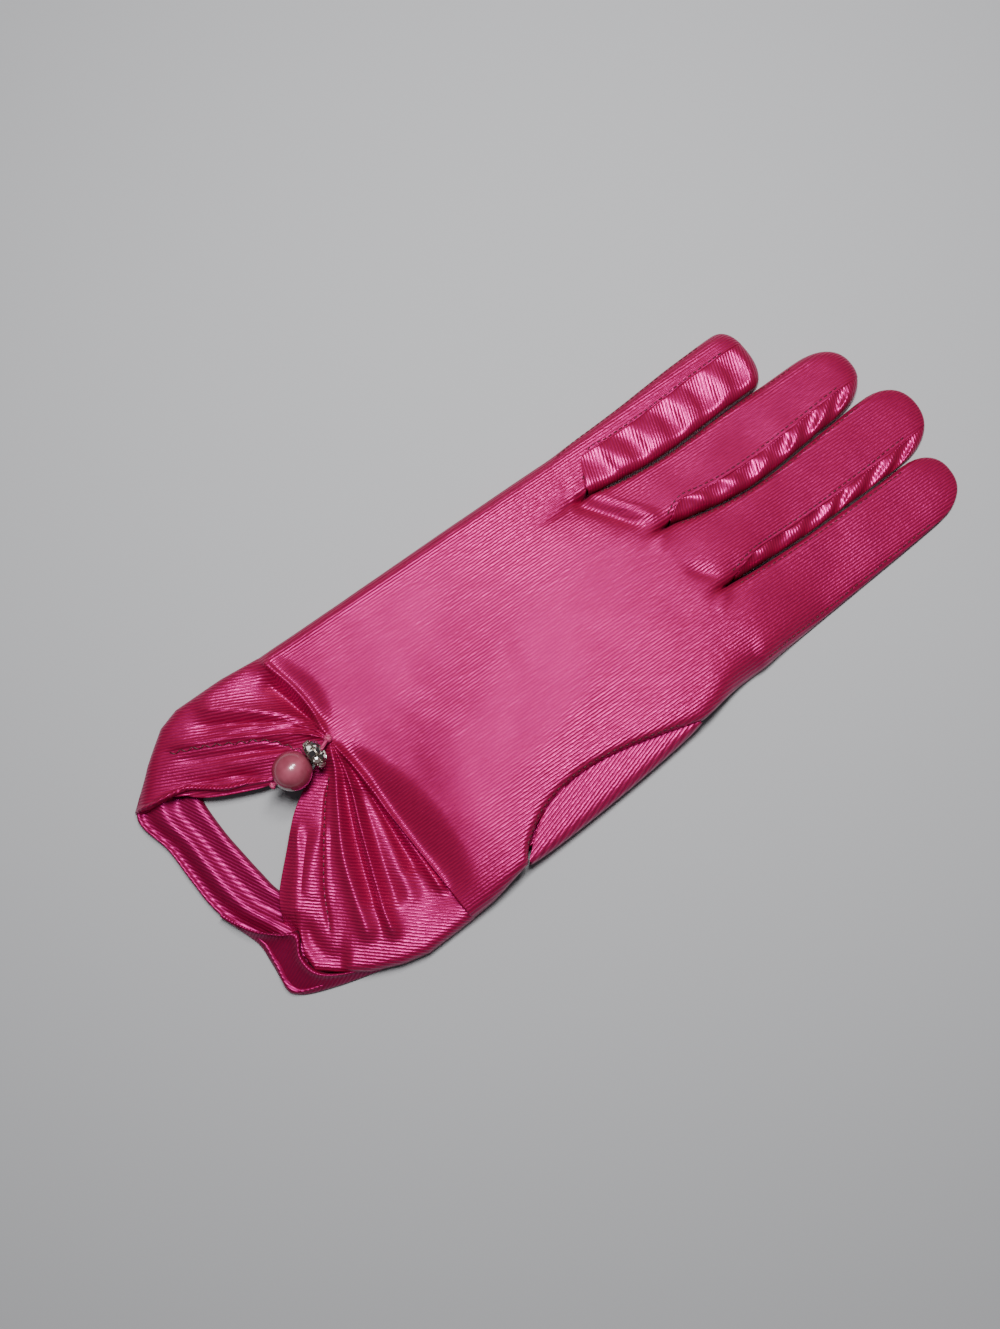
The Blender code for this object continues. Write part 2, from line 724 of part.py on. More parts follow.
def make_thumb():
    loops = []
    inward_length = THUMB_LENGTH * math.sin(THUMB_ANGLE)
    for row, (inward, outward, height, inner) in enumerate(THUMB_ROLL):
        loop = []
        for across, side in THUMB_LOOP:
            base = thumb_plan(0.0, across)
            bow = math.sqrt(max(1 - across**2, 0.0))
            reach = inward * (notch(base.x) + THUMB_OVERLAP) * bow
            reach -= THUMB_CLEARANCE + outward * THUMB_BULGE * bow
            if inward == 0.0 and outward < 0.0:
                outer = thumb_plan(-outward * THUMB_BULGE / inward_length, across)
            else:
                outer = base + plan(0.0, reach)
            outer = raised(outer, height * MOUTH_LEVEL)
            fade = 1 - row / (len(THUMB_ROLL) - 1)
            tuck = inner * THUMB_WIDTH + THUMB_END_TUCK * (1 - bow) * fade
            share = tuck / inward_length
            within = raised(thumb_plan(share, across), THUMB_HEIGHT)
            loop.append(within.lerp(outer, side))
        loops.append(loop)
    first = THUMB_ROLL[-1][3] * THUMB_WIDTH / inward_length
    for row in range(1, THUMB_ROWS + 1):
        share = mix(first, 1.0, row / THUMB_ROWS)
        loop = []
        for across, side in THUMB_LOOP:
            loop.append(raised(thumb_plan(share, across), THUMB_HEIGHT * (1 - side)))
        loops.append(loop)
    bm = bmesh.new()
    outer = [k for k, (across, side) in enumerate(THUMB_LOOP) if side == 1.0]
    add_grid(bm, [[loop[k] for k in outer] for loop in loops[: THUMB_RIM_ROWS + 1]])
    rows = add_grid(bm, [loop + loop[:1] for loop in loops[THUMB_RIM_ROWS:]])
    top, bottom = rows[-1][:8], rows[-1][9:17][::-1]
    for k in range(7):
        bm.faces.new((top[k], top[k + 1], bottom[k + 1], bottom[k]))
    bm.faces.new((top[0], bottom[0], rows[-1][17]))
    bm.faces.new((bottom[7], top[7], rows[-1][8]))
    return thicken(add_object("thumb", bm, material("thumb_satin", SATIN_THUMB, 0.32)))


def make_strap():
    grid = []
    for row in STRAP_SECTIONS:
        line = []
        for column in range(STRAP_COLUMNS + 1):
            across = column / STRAP_COLUMNS
            crown = STRAP_CROWN * (1 - (2 * across - 1) ** 2)
            line.append(raised(strap_section(row, across), WALL + crown))
        grid.append(line)
    return add_sheet("wrist_strap", [grid], material("strap_satin", SATIN, 0.35))


def bead_frame(place, axis):
    """Matrix that puts a turned bead at a place with its bore along an axis."""
    turn = Vector((0, 0, 1)).rotation_difference(axis).to_matrix().to_4x4()
    return Matrix.Translation(place) @ turn


def make_turned(name, profile, segments, frame, look, rise=None):
    """A closed ring-shaped solid: a closed profile of radius and height, turned."""
    bm = bmesh.new()
    rows = []
    for radius, z in profile:
        ring = []
        for k in range(segments):
            angle = 2 * math.pi * k / segments
            out = radius + (rise(k, z) if rise and radius > BEAD_BORE else 0.0)
            place = Vector((out * math.cos(angle), out * math.sin(angle), z))
            ring.append(bm.verts.new(frame @ place))
        rows.append(ring)
    for low, high in zip(rows, rows[1:] + rows[:1]):
        for k in range(segments):
            n = (k + 1) % segments
            bm.faces.new((low[k], low[n], high[n], high[k]))
    return add_object(name, bm, look)


def make_pearl():
    radius, bore = 0.5 * PEARL_DIAMETER, 0.5 * BEAD_BORE
    low = math.asin(bore / radius)
    profile = []
    for k in range(13):
        angle = mix(low, math.pi - low, k / 12)
        profile.append((radius * math.sin(angle), radius * math.cos(angle)))
    end = math.sqrt(radius**2 - bore**2)
    profile += [(bore, -0.3 * end), (bore, 0.3 * end)]
    axis = Vector(PEARL_PLACE) - Vector(RONDELLE_PLACE)
    frame = bead_frame(Vector(PEARL_PLACE), axis)
    return make_turned("pearl", profile, 20, frame, material("pearl_pink", PEARL_PINK, 0.25))


def make_rondelle():
    """A ring with a row of faceted crystals that stand a little out of its rim."""
    half, radius = 0.5 * RONDELLE_THICKNESS, 0.5 * RONDELLE_DIAMETER
    bore = 0.5 * BEAD_BORE
    profile = [
        (bore, half * 0.8),
        (0.62 * radius, half),
        (0.86 * radius, 0.9 * half),
        (radius, 0.45 * half),
        (radius, -0.45 * half),
        (0.86 * radius, -0.9 * half),
        (0.62 * radius, -half),
        (bore, -half * 0.8),
    ]

    def stone(k, z):
        raised_facet = 1.0 if k % 4 in (1, 2) else 0.0
        return STONE_RISE * raised_facet * (1.0 if abs(z) < 0.5 * half else 0.0)

    axis = Vector(PEARL_PLACE) - Vector(RONDELLE_PLACE)
    frame = bead_frame(Vector(RONDELLE_PLACE), axis)
    look = material("gunmetal_and_crystal", GUNMETAL, 0.2, 0.8)
    return make_turned("crystal_rondelle", profile, 4 * RONDELLE_STONES, frame, look, stone)


def make_thread():
    """Thread from a knot on the gathers, through both beads, to a knot at the end."""
    pearl, rondelle = Vector(PEARL_PLACE), Vector(RONDELLE_PLACE)
    axis = (pearl - rondelle).normalized()
    start = raised(knot(), KNOT_LEVEL + BEAD_GAP + 0.5 * THREAD_KNOT)
    before = rondelle - axis * (0.5 * RONDELLE_THICKNESS + THREAD_LEAD)
    after = pearl + axis * (0.5 * PEARL_DIAMETER + BEAD_GAP)
    thin, knob = 0.5 * THREAD_DIAMETER, 0.5 * THREAD_KNOT
    arm = (before - start).normalized()
    stations = [
        (start - arm * knob, 0.3 * knob),
        (start - arm * 0.6 * knob, 0.8 * knob),
        (start, knob),
        (start + arm * 0.6 * knob, 0.8 * knob),
        (start + arm * knob, thin),
        (before, thin),
        (rondelle, thin),
        (pearl, thin),
        (after, thin),
        (after + axis * 0.25 * knob, 0.8 * knob),
        (after + axis * 0.8 * knob, 0.8 * knob),
        (after + axis * 1.05 * knob, 0.3 * knob),
    ]
    bm = bmesh.new()
    rings = []
    for k, (place, radius) in enumerate(stations):
        before_place = stations[max(k - 1, 0)][0]
        after_place = stations[min(k + 1, len(stations) - 1)][0]
        frame = bead_frame(place, (after_place - before_place).normalized())
        ring = []
        for n in range(8):
            angle = 2 * math.pi * n / 8
            offset = Vector((radius * math.cos(angle), radius * math.sin(angle), 0))
            ring.append(bm.verts.new(frame @ offset))
        rings.append(ring)
    for low, high in zip(rings, rings[1:]):
        for n in range(8):
            m = (n + 1) % 8
            bm.faces.new((low[n], low[m], high[m], high[n]))
    bm.faces.new(rings[0][::-1])
    bm.faces.new(rings[-1])
    return add_object("bead_thread", bm, material("thread_pink", THREAD_PINK, 0.6))


def centre_on_origin(objects):
    """Moves the glove so that the middle of its underside is the origin."""
    bpy.context.view_layer.update()
    graph = bpy.context.evaluated_depsgraph_get()
    points = []
    for made in objects:
        mesh = made.evaluated_get(graph).to_mesh()
        places = np.empty(3 * len(mesh.vertices))
        mesh.vertices.foreach_get("co", places)
        points.append(places.reshape(-1, 3))
    points = np.concatenate(points)
    low, high = points.min(axis=0), points.max(axis=0)
    shift = Vector((-0.5 * (low[0] + high[0]), -0.5 * (low[1] + high[1]), -low[2]))
    for made in objects:
        made.data.transform(Matrix.Translation(shift))


def main():
    for old in list(bpy.data.objects):
        bpy.data.objects.remove(old)
    made = [make_back_panel(), make_palm_panel()]
    made += [make_fourchette(finger) for finger in range(len(FOURCHETTE_WIDTHS))]
    made += [make_thumb(), make_strap(), make_pearl(), make_rondelle(), make_thread()]
    centre_on_origin(made)


main()
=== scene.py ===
"""Looks of a left-hand satin evening glove, laid flat with the back of the hand up."""

import math
from bisect import bisect_left

import bmesh
import bpy
import numpy as np
from mathutils import Matrix, Vector, noise


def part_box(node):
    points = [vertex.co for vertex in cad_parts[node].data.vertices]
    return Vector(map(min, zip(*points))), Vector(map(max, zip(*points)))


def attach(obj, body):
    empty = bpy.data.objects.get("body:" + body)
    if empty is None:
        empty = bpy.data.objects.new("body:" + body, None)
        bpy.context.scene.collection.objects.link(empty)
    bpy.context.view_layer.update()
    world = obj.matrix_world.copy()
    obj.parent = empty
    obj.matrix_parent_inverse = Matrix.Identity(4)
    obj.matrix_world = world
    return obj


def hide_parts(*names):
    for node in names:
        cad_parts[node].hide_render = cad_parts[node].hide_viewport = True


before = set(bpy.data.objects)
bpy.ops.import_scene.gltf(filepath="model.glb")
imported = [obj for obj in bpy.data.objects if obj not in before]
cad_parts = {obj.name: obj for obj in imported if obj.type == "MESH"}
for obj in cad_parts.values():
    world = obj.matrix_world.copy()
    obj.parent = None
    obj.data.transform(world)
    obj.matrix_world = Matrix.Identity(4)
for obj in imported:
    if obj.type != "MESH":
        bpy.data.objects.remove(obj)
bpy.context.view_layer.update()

MM = 0.001

# A pair of numbers that a smooth step takes is where a change starts and where it ends.

# Cloth
WALL = 0.5 * MM
RIM = 1.15 * MM
SOLE_RIM = 1.05 * MM
PALM_TOP = 5.7 * MM
FINGER_TOP = 5.0 * MM
FINGER_TILTS = (0.0, 0.04, 0.45, 0.68)
TIP_DROPS = (0.0, 0.10, 0.42, 0.40)
EDGE_ROLL = 4.6 * MM
CRISP_ROLL = 2.6 * MM
CRISP_UNTIL = (118 * MM, 136 * MM)
OUTER_ROLL = 0.24
INNER_ROLL = 0.10
TIP_ROLL = 8.0 * MM
SOLE_ROLL = 2.0 * MM
ROLL_POWER = 2.2
TIP_POWER = 2.3

# Hand, from the cuff's corner to the fork of ring and middle finger
HAND_LENGTH = 153.0 * MM
FINGER_NAMES = ("little", "ring", "middle", "index")
FINGER_LENGTHS = (62.0 * MM, 75.5 * MM, 75.0 * MM, 72.0 * MM)
FINGER_WIDTHS = (17.2 * MM, 19.8 * MM, 18.8 * MM, 20.4 * MM)
FINGER_TIP_LENGTHS = (6.0 * MM, 13.0 * MM, 14.0 * MM, 12.0 * MM)
FINGER_GAP = 0.3 * MM
HAND_WIDTH = sum(FINGER_WIDTHS)
FINGER_PITCH = 19.0 * MM
BEYOND_LITTLE = (-14.0 * MM, -4.0 * MM)
GAP_OPENS = (0.0, 0.15)
FORK_BLEND = (0.0, 0.12)
TILT_SPAN = (0.0, 0.35)
DROP_SPAN = (0.25, 1.0)
SEAM_DOME = 0.5
SIDE_BLEND = (0.8, 1.0)
NARROWING = (0.72, 1.0)
DOME_PARTING = (0.80, 1.0)
PARTING = (0.955, 1.0)

# Knot and cuff
KNOT_FROM_CUFF = 51.6 * MM
KNOT_OFFSET = 7.9 * MM
KNOT_LEVEL = 6.7 * MM
KNOT_REACH = 9.0 * MM
KNOT_ROW_ENDS = (0.93, 1.095)
PALM_NOTCH = 6.0 * MM
FLAP_LEVEL = 3.2 * MM
FREE_EDGE_RISE = 1.0 * MM
FREE_EDGE_FADE = 13.0 * MM
FREE_SPAN = (0.72, 1.0)
FLAP_RISE = (0.05, 0.3)
FLAP_RIM = 4.0 * MM
FLAP_SLOPE = (0.0, 0.35)
BEND_SPAN = (0.45, 1.0)
KNOT_AT = 1.333
KNOT_CORE = 1.0 * MM
SLOPE_SPAN = (-0.2, 1.0)
SLOPE_ROLL = 8.0 * MM
DOME_REACH = 13.0 * MM

# Thumb, folded under the palm
THUMB_START = 75.0 * MM
THUMB_OPENING = 56.0 * MM
THUMB_LENGTH = 58.0 * MM
THUMB_WIDTH = 24.0 * MM
THUMB_HEIGHT = 3.4 * MM
THUMB_LIFT = 3.9 * MM
MOUTH_LEVEL = 6.25 * MM
NOTCH_LEVEL = 2.9 * MM
NOTCH_SKEW = 0.7
NOTCH_START = (-0.22, -0.02)
NOTCH_END = (1.02, 1.20)
THUMB_ANGLE = math.radians(47.0)
THUMB_NOTCH_DEPTH = 8.9 * MM
THUMB_BULGE = 1.3 * MM
THUMB_OVERLAP = 2.6 * MM
PALM_INSET = 3.0 * MM
THUMB_END_TUCK = 1.2 * MM
THUMB_END_REACH = 0.03
THUMB_TIP_ROLL = 5.0 * MM
THUMB_JOIN = (0.0, 0.52)
THUMB_TWIST = (0.28, 0.80)
THUMB_TIP = (0.70, 1.0)
THUMB_BASE_HALF = 0.48
THUMB_TAPER = 0.88
THUMB_SECTION_POWER = 0.6
THUMB_TURN = 7
THUMB_INNER_FROM = 5
THUMB_SIDE_REACH = 20.0 * MM

# Fourchettes
FOURCHETTE_WIDTHS = (11.2 * MM, 5.4 * MM, 3.8 * MM)
COVER_FADES = ((0.00, 0.13), (0.00, 0.16), (0.00, 0.22))
PUCKER_PITCH = 11.6 * MM
PUCKER_HEIGHT = 0.62 * MM
PUCKER_UNEVEN = 0.3
PUCKER_DRIFT = 0.18
PUCKER_START = (0.0, 0.12)
PUCKER_END = (0.90, 1.0)
PILLOW_POWER = 0.8
PILLOW_WIDTH = 0.7
STRIP_START = 0.25

# Trim. Columns of a stitch's profile: share along it, lift from the cloth in mm. A kind of
# stitch is its pitch, its length and, for a zigzag, its reach to the side.
PEARL_DIAMETER = 10.0 * MM
PEARL_PLACE = Vector((40.3, 5.7, 11.3)) * MM
RONDELLE_DIAMETER = 6.8 * MM
RONDELLE_THICKNESS = 2.6 * MM
RONDELLE_STONES = 10
FACE_STONES = 7
RONDELLE_PLACE = Vector((47.0, 6.0, 11.7)) * MM
BEAD_AXIS = (PEARL_PLACE - RONDELLE_PLACE).normalized()
BEAD_BORE = 1.8 * MM
THREAD_DIAMETER = 1.0 * MM
THREAD_KNOT = 2.2 * MM
STITCH_DIAMETER = 0.32 * MM
STITCH_PROFILE = ((0.0, -0.25), (0.12, 0.02), (0.5, 0.12), (0.88, 0.02), (1.0, -0.25))
SEAM_STITCH = (1.7 * MM, 1.1 * MM)
HEM_STITCH = (1.5 * MM, 1.5 * MM, 0.45 * MM)
FLAP_STITCH = (1.9 * MM, 1.2 * MM)
NOTCH_LINE_SPAN = (-0.96, 0.90)
NOTCH_LINE_INSET = 0.8 * MM
SEAM_LINE_SPAN = (0.05, 0.90)
SEAM_INSETS = (0.10, 0.07, 0.07, 0.07)
LINE_POINTS = 8
STONE_RADIUS = 0.98 * MM
STONE_DEPTH = 0.5 * MM
STONE_SINK = 0.2 * MM
FACE_STONE_RADIUS = 0.92 * MM
FACE_RING = 0.68
FACE_LIFT = 0.25 * MM
FACE_TURN = 140 / 360
CLAW_RADIUS = 0.30 * MM
CLAW_LIFT = 0.05 * MM
CLAW_SPREAD = 0.62 * MM

# The glove's own frame starts at the cuff's corner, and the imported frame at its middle.
low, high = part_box("pearl")
SHIFT = 0.5 * (Vector(low) + Vector(high)) - PEARL_PLACE

# Section of the strap, from its inner to its outer edge. Columns: share across, height
# in shares of STRAP_HEIGHT.
STRAP_HEIGHT = 2.4 * MM
STRAP_WAVE = (0.16, 1.6)
STRAP_UNEVEN = 0.12
STRAP_BOW = (
    (0.00, 0.00), (0.04, 0.46), (0.10, 0.58), (0.24, 0.38), (0.38, 0.20), (0.48, 0.56),
    (0.58, 1.00), (0.70, 0.76), (0.84, 0.30), (0.91, 0.28), (0.945, 0.62), (0.98, 0.55),
    (1.00, 0.00),
)

# Grids
FINGER_COLUMNS = 20
HAND_ROWS = 140
FINGER_ROWS = 64
ROW_CROWDING = 1.4
CROWDING = 0.7
LEFT_RAYS = 110
RIGHT_RAYS = 190
PALM_ROWS = 60
LEG_ROWS = 16
LEG_END = 0.667
PALM_EDGE_SPAN = 2.667
FOURCHETTE_GRID = (110, 14)
THUMB_COLUMNS = 48
THUMB_ROLL_ROWS = 44
THUMB_ROWS = 30
STRAP_COLUMNS = 30
HEM_COLUMNS = 8
CURVE_STEPS = 10
STRAP_STEPS = 12
LIP_STEPS = 14
STITCH_STEPS = 24
STITCH_SIDES = 6

# Ribs of the satin: their direction on each piece, and the sizes of the weave
LEFT_GRAIN, RIGHT_GRAIN = math.radians(-25), math.radians(140)
STRIP_GRAIN, STRAP_GRAIN, LIP_GRAIN = math.radians(70), math.radians(-60), math.radians(20)
THUMB_GRAIN = HEM_GRAIN = 0.3
RIB_PITCH = 0.78 * MM
WOBBLE_SCALE = 900.0
YARN_SCALE = (500.0, 3200.0, 1.0)
MOTTLE_SCALE = 130.0
WOBBLE = 0.5
YARN_SHARE, RIB_SHARE, MOTTLE_SHARE = 0.45, 0.55, 0.25
YARN_DULLNESS, RIB_SHINE = 0.10, 0.20
YARN_HEIGHT = 0.6

# Outline of the hand and its fingers: drift of the seams in shares of a finger's width,
# forks and sides in shares of HAND_LENGTH and HAND_WIDTH, then edges of both flaps in
# shares of KNOT_FROM_CUFF and HAND_WIDTH, and how far their rays bend.
SEAM_DRIFT = (
    (0.00, -0.03, 0.11, 0.18, 0.04, -0.09),
    (0.35, 0.03, -0.01, -0.02, -0.01, 0.01),
    (0.70, 0.12, 0.05, 0.09, 0.02, 0.11),
    (1.00, 0.17, 0.08, 0.19, 0.10, 0.21),
)
FORKS = ((0, 0.905), (1, 0.920), (2, 1.000), (3, 1.025), (4, 0.985))
LEFT_SIDE = ((0.337, 0.479), (0.450, 0.481), (0.660, 0.488), (0.905, 0.493))
RIGHT_SIDE = (
    (0.337, 0.645), (0.405, 0.634), (0.490, 0.600), (0.660, 0.573), (0.860, 0.545), (0.985, 0.520),
)
LEFT_FLAP_EDGE = ((0.93, 0.480), (0.72, 0.490), (0.45, 0.487), (0.34, 0.461), (0.19, 0.381), (0.02, 0.276))
RIGHT_FLAP_EDGE = (
    (1.095, -0.643), (0.83, -0.650), (0.70, -0.631), (0.55, -0.591), (0.42, -0.536), (0.34, -0.492),
    (0.33, -0.440), (0.36, -0.375), (0.33, -0.305),
)
LEFT_FLAP_BEND = ((0.00, 0.000), (0.33, 0.105), (0.53, 0.083), (0.66, 0.050), (0.78, 0.000), (1.00, 0.000))
RIGHT_FLAP_BEND = (
    (0.00, 0.000), (0.34, -0.075), (0.44, -0.086), (0.62, -0.076), (0.82, -0.060), (1.00, 0.000),
)
LEFT_FREE_FROM = 6.0 * MM
RIGHT_FREE_FROM = 16.0 * MM

# The hand slopes down towards the gathered line on both sides of the knot. Columns:
# share of the way from the knot to the side, width of the slope and its depth in mm.
LEFT_SLOPE = (
    (0.00, 3.0, 0.6),
    (0.20, 6.0, 2.0),
    (0.50, 8.0, 2.7),
    (0.80, 6.5, 1.8),
    (1.00, 5.0, 0.4),
)
RIGHT_SLOPE = (
    (0.00, 3.5, 0.8),
    (0.22, 8.0, 2.6),
    (0.45, 11.0, 3.7),
    (0.66, 10.5, 3.5),
    (0.80, 9.0, 2.3),
    (0.91, 7.0, 0.5),
    (1.00, 5.0, 0.0),
)

# Folds that spread from the knot and the lines pressed between them, each a curve over
# the cloth. Columns: height and half width in mm, then points as shares of KNOT_FROM_CUFF
# and HAND_WIDTH. Stitches follow the two named lines.
RIDGES = (
    (2.5, 1.15, ((1.000, 0.104), (1.030, -0.033), (1.036, -0.238), (1.044, -0.400), (1.050, -0.530))),
    (2.4, 1.10, ((1.000, 0.104), (0.995, 0.022), (0.956, -0.084), (0.888, -0.207),
      (0.780, -0.432), (0.745, -0.560))),
    (1.0, 1.80, ((1.005, -0.090), (0.990, -0.214), (0.948, -0.348), (0.900, -0.500))),
    (2.1, 1.70, ((1.000, 0.104), (0.950, 0.010), (0.870, -0.086), (0.759, -0.229),
      (0.690, -0.380), (0.640, -0.520))),
    (1.1, 3.20, ((0.780, -0.110), (0.600, -0.200), (0.470, -0.300))),
    (2.1, 1.10, ((1.000, 0.104), (1.008, 0.209), (0.996, 0.304), (0.960, 0.400), (0.935, 0.470))),
    (1.4, 2.20, ((0.998, 0.150), (1.004, 0.220), (0.988, 0.304), (0.953, 0.400), (0.925, 0.470))),
    (1.7, 0.75, ((1.000, 0.104), (0.992, 0.160), (0.931, 0.228), (0.801, 0.308), (0.675, 0.373),
      (0.540, 0.440))),
    (1.4, 1.90, ((0.995, 0.140), (0.931, 0.230), (0.801, 0.308), (0.675, 0.373), (0.540, 0.440))),
    (1.3, 0.65, ((1.000, 0.104), (0.960, 0.170), (0.870, 0.225), (0.720, 0.285), (0.560, 0.345))),
    (1.6, 0.80, ((1.000, 0.104), (0.960, 0.135), (0.879, 0.183), (0.733, 0.242), (0.545, 0.315),
      (0.330, 0.385))),
    (1.1, 1.90, ((0.960, 0.135), (0.879, 0.178), (0.733, 0.236), (0.545, 0.308), (0.330, 0.380))),
    (0.9, 1.60, ((0.860, 0.130), (0.640, 0.190), (0.480, 0.240))),
    (1.2, 1.20, ((0.534, 0.240), (0.500, 0.200), (0.455, 0.165))),
    (1.3, 0.60, ((0.700, 0.090), (0.585, 0.128), (0.455, 0.165), (0.300, 0.238), (0.150, 0.252),
      (0.000, 0.268))),
    (1.6, 2.20, ((0.660, -0.060), (0.560, -0.160), (0.450, -0.260), (0.400, -0.330))),
)
RIGHT_SEAM_LINE = ((0.900, 0.000), (0.823, -0.054), (0.714, -0.159), (0.586, -0.292), (0.500, -0.420))
LEFT_HEM_LINE = ((0.870, 0.115), (0.758, 0.212), (0.602, 0.275), (0.473, 0.321), (0.304, 0.370))
TROUGHS = (
    (0.7, 0.45, RIGHT_SEAM_LINE),
    (1.8, 2.60, ((0.440, -0.330), (0.410, -0.400), (0.430, -0.480), (0.520, -0.530))),
    (0.5, 0.60, LEFT_HEM_LINE),
    (1.5, 1.90, ((1.020, -0.080), (1.010, -0.200), (1.004, -0.300), (0.996, -0.430))),
    (1.5, 1.90, ((0.978, -0.050), (0.935, -0.190), (0.872, -0.345), (0.826, -0.480))),
    (1.6, 1.80, ((0.960, 0.000), (0.872, -0.150), (0.796, -0.300), (0.733, -0.440))),
    (1.9, 1.50, ((0.990, 0.150), (0.960, 0.225), (0.934, 0.310), (0.885, 0.410))),
    (1.2, 1.00, ((0.940, 0.180), (0.850, 0.238), (0.740, 0.290), (0.600, 0.350), (0.480, 0.395))),
    (1.1, 1.10, ((0.840, 0.140), (0.700, 0.200), (0.500, 0.270), (0.330, 0.330))),
    (1.1, 1.30, ((0.640, 0.130), (0.520, 0.185), (0.380, 0.215), (0.220, 0.235))),
)
KNOT_FADE = 4.0 * MM
END_FADE = 3.5 * MM
FAN_WIDENING = 0.9
FAN_START = 0.35
CREST_POWER = 1.5
CREASE_FADE = 4
WAVES = ((9.0 * MM, 0.17 * MM), (3.1 * MM, 0.05 * MM))

# The lip at the strap's end: its foot, its hem, and the left flap's hem, as shares of
# KNOT_FROM_CUFF and HAND_WIDTH. Columns of its section: share across, level and bead of
# the hem in shares of LIP_HEIGHT. LIP_ENDS are its lowest levels at foot and hem.
LIP_HEIGHT = 4.1 * MM
LIP_ENDS = (1.1 * MM, 2.0 * MM)
LIP_WALL = 0.4 * MM
LIP_WAVE = 0.25 * MM
LIP_START = (0.0, 0.35)
LIP_END = (0.70, 1.0)
LIP_SINK = 0.55
LEFT_HEM_SIZE = (1.5 * MM, 0.6 * MM)
HEM_START = (0.0, 0.06)
HEM_END = (0.90, 1.0)
HEM_WALL = 0.3 * MM
HEM_LIFT = 0.25 * MM
LIP_OUTER = (
    (0.1027, -0.1654), (0.1202, -0.2073), (0.1531, -0.2625), (0.1802, -0.3202), (0.1802, -0.3937),
    (0.1783, -0.4790), (0.2248, -0.5249), (0.3876, -0.5669), (0.6008, -0.6063),
)
LIP_HEM = (
    (0.1085, -0.1654), (0.1434, -0.2126), (0.2054, -0.2730), (0.2907, -0.3255), (0.3547, -0.3596),
    (0.3178, -0.4252), (0.3411, -0.4934), (0.4380, -0.5433), (0.6008, -0.5853),
)
LIP_SECTION = (
    (0.00, 0.1463, 0.0000),
    (0.06, 0.2683, 0.0000),
    (0.25, 0.4146, 0.0000),
    (0.45, 0.5610, 0.0000),
    (0.65, 0.7317, 0.0000),
    (0.80, 0.8537, 0.0000),
    (0.88, 0.9268, 0.0732),
    (0.94, 0.9756, 0.1707),
    (1.00, 1.0000, 0.2195),
    (1.05, 0.9756, 0.1707),
    (1.09, 0.8780, 0.0488),
    (1.10, 0.7073, 0.0000),
)
LEFT_HEM = (
    (0.0252, 0.2743), (0.0775, 0.2625), (0.1453, 0.2559), (0.2326, 0.2493), (0.3120, 0.2362),
    (0.3876, 0.2021), (0.4554, 0.1680), (0.5233, 0.1509), (0.6008, 0.1365),
)

# Creases of the hand round the forks. Columns: height and half width in mm, then points
# as shares of HAND_LENGTH and HAND_WIDTH.
HAND_CREASES = (
    (1.0, 0.70, ((0.910, 0.365), (0.955, 0.225), (1.000, 0.085))),
    (-1.5, 1.90, ((0.885, 0.350), (0.925, 0.225), (0.975, 0.080))),
    (-1.0, 1.40, ((0.975, -0.090), (1.004, -0.150), (1.026, -0.200))),
    (-0.8, 1.10, ((0.890, 0.400), (0.915, 0.360))),
    (0.6, 0.60, ((1.006, 0.080), (0.985, 0.035), (0.955, 0.000))),
    (0.6, 0.60, ((1.000, 0.100), (0.975, 0.140), (0.945, 0.160))),
    (0.6, 0.60, ((1.028, -0.205), (1.005, -0.255), (0.978, -0.285))),
    (0.6, 0.60, ((0.920, 0.345), (0.900, 0.305), (0.878, 0.280))),
    (-0.35, 2.40, ((0.780, -0.035), (0.800, -0.015), (0.820, 0.005))),
    (0.5, 7.00, ((0.500, -0.400), (0.660, -0.290), (0.840, -0.220))),
    (-0.5, 7.00, ((0.480, -0.250), (0.600, -0.200), (0.760, -0.100))),
    (-0.5, 5.00, ((1.040, -0.340), (1.120, -0.320), (1.180, -0.310))),
    (0.4, 5.00, ((1.100, -0.240), (1.180, -0.230), (1.260, -0.230))),
    (-0.6, 3.50, ((1.120, 0.245), (1.150, 0.240), (1.180, 0.235))),
    (0.5, 4.00, ((1.060, 0.160), (1.140, 0.190), (1.220, 0.200))),
    (-0.5, 4.50, ((1.260, 0.200), (1.320, 0.190), (1.380, 0.190))),
    (0.4, 5.00, ((1.060, -0.060), (1.160, -0.040), (1.260, -0.030))),
    (-0.5, 5.00, ((1.300, -0.060), (1.380, -0.040), (1.440, -0.030))),
)

# How far the palm and the back are lifted round the thumb: full height and end of the
# lift round its tube, in shares of THUMB_WIDTH; fade past both ends of its opening, in
# shares of THUMB_OPENING; full height and end of the lift inwards from the opening, in
# shares of THUMB_WIDTH.
PALM_LIFT_REACHES = (0.66, 1.15, 0.35, 0.70, 1.35)
BACK_LIFT_REACHES = (0.45, 2.40, 0.85, 0.50, 2.40)

# The strap from one leg of the palm to the other. Columns: place of its inner edge, then
# of its outer edge, as shares of KNOT_FROM_CUFF and HAND_WIDTH.
STRAP_SECTIONS = (
    (0.450, 0.260, 0.400, 0.480),
    (0.385, 0.228, 0.270, 0.425),
    (0.335, 0.198, 0.130, 0.345),
    (0.322, 0.165, 0.010, 0.252),
    (0.330, 0.055, 0.055, 0.112),
    (0.348, -0.034, 0.068, -0.005),
    (0.368, -0.118, 0.083, -0.114),
    (0.395, -0.204, 0.124, -0.213),
    (0.460, -0.275, 0.190, -0.310),
    (0.545, -0.335, 0.185, -0.400),
    (0.620, -0.385, 0.182, -0.500),
    (0.680, -0.430, 0.330, -0.545),
    (0.740, -0.470, 0.520, -0.583),
)

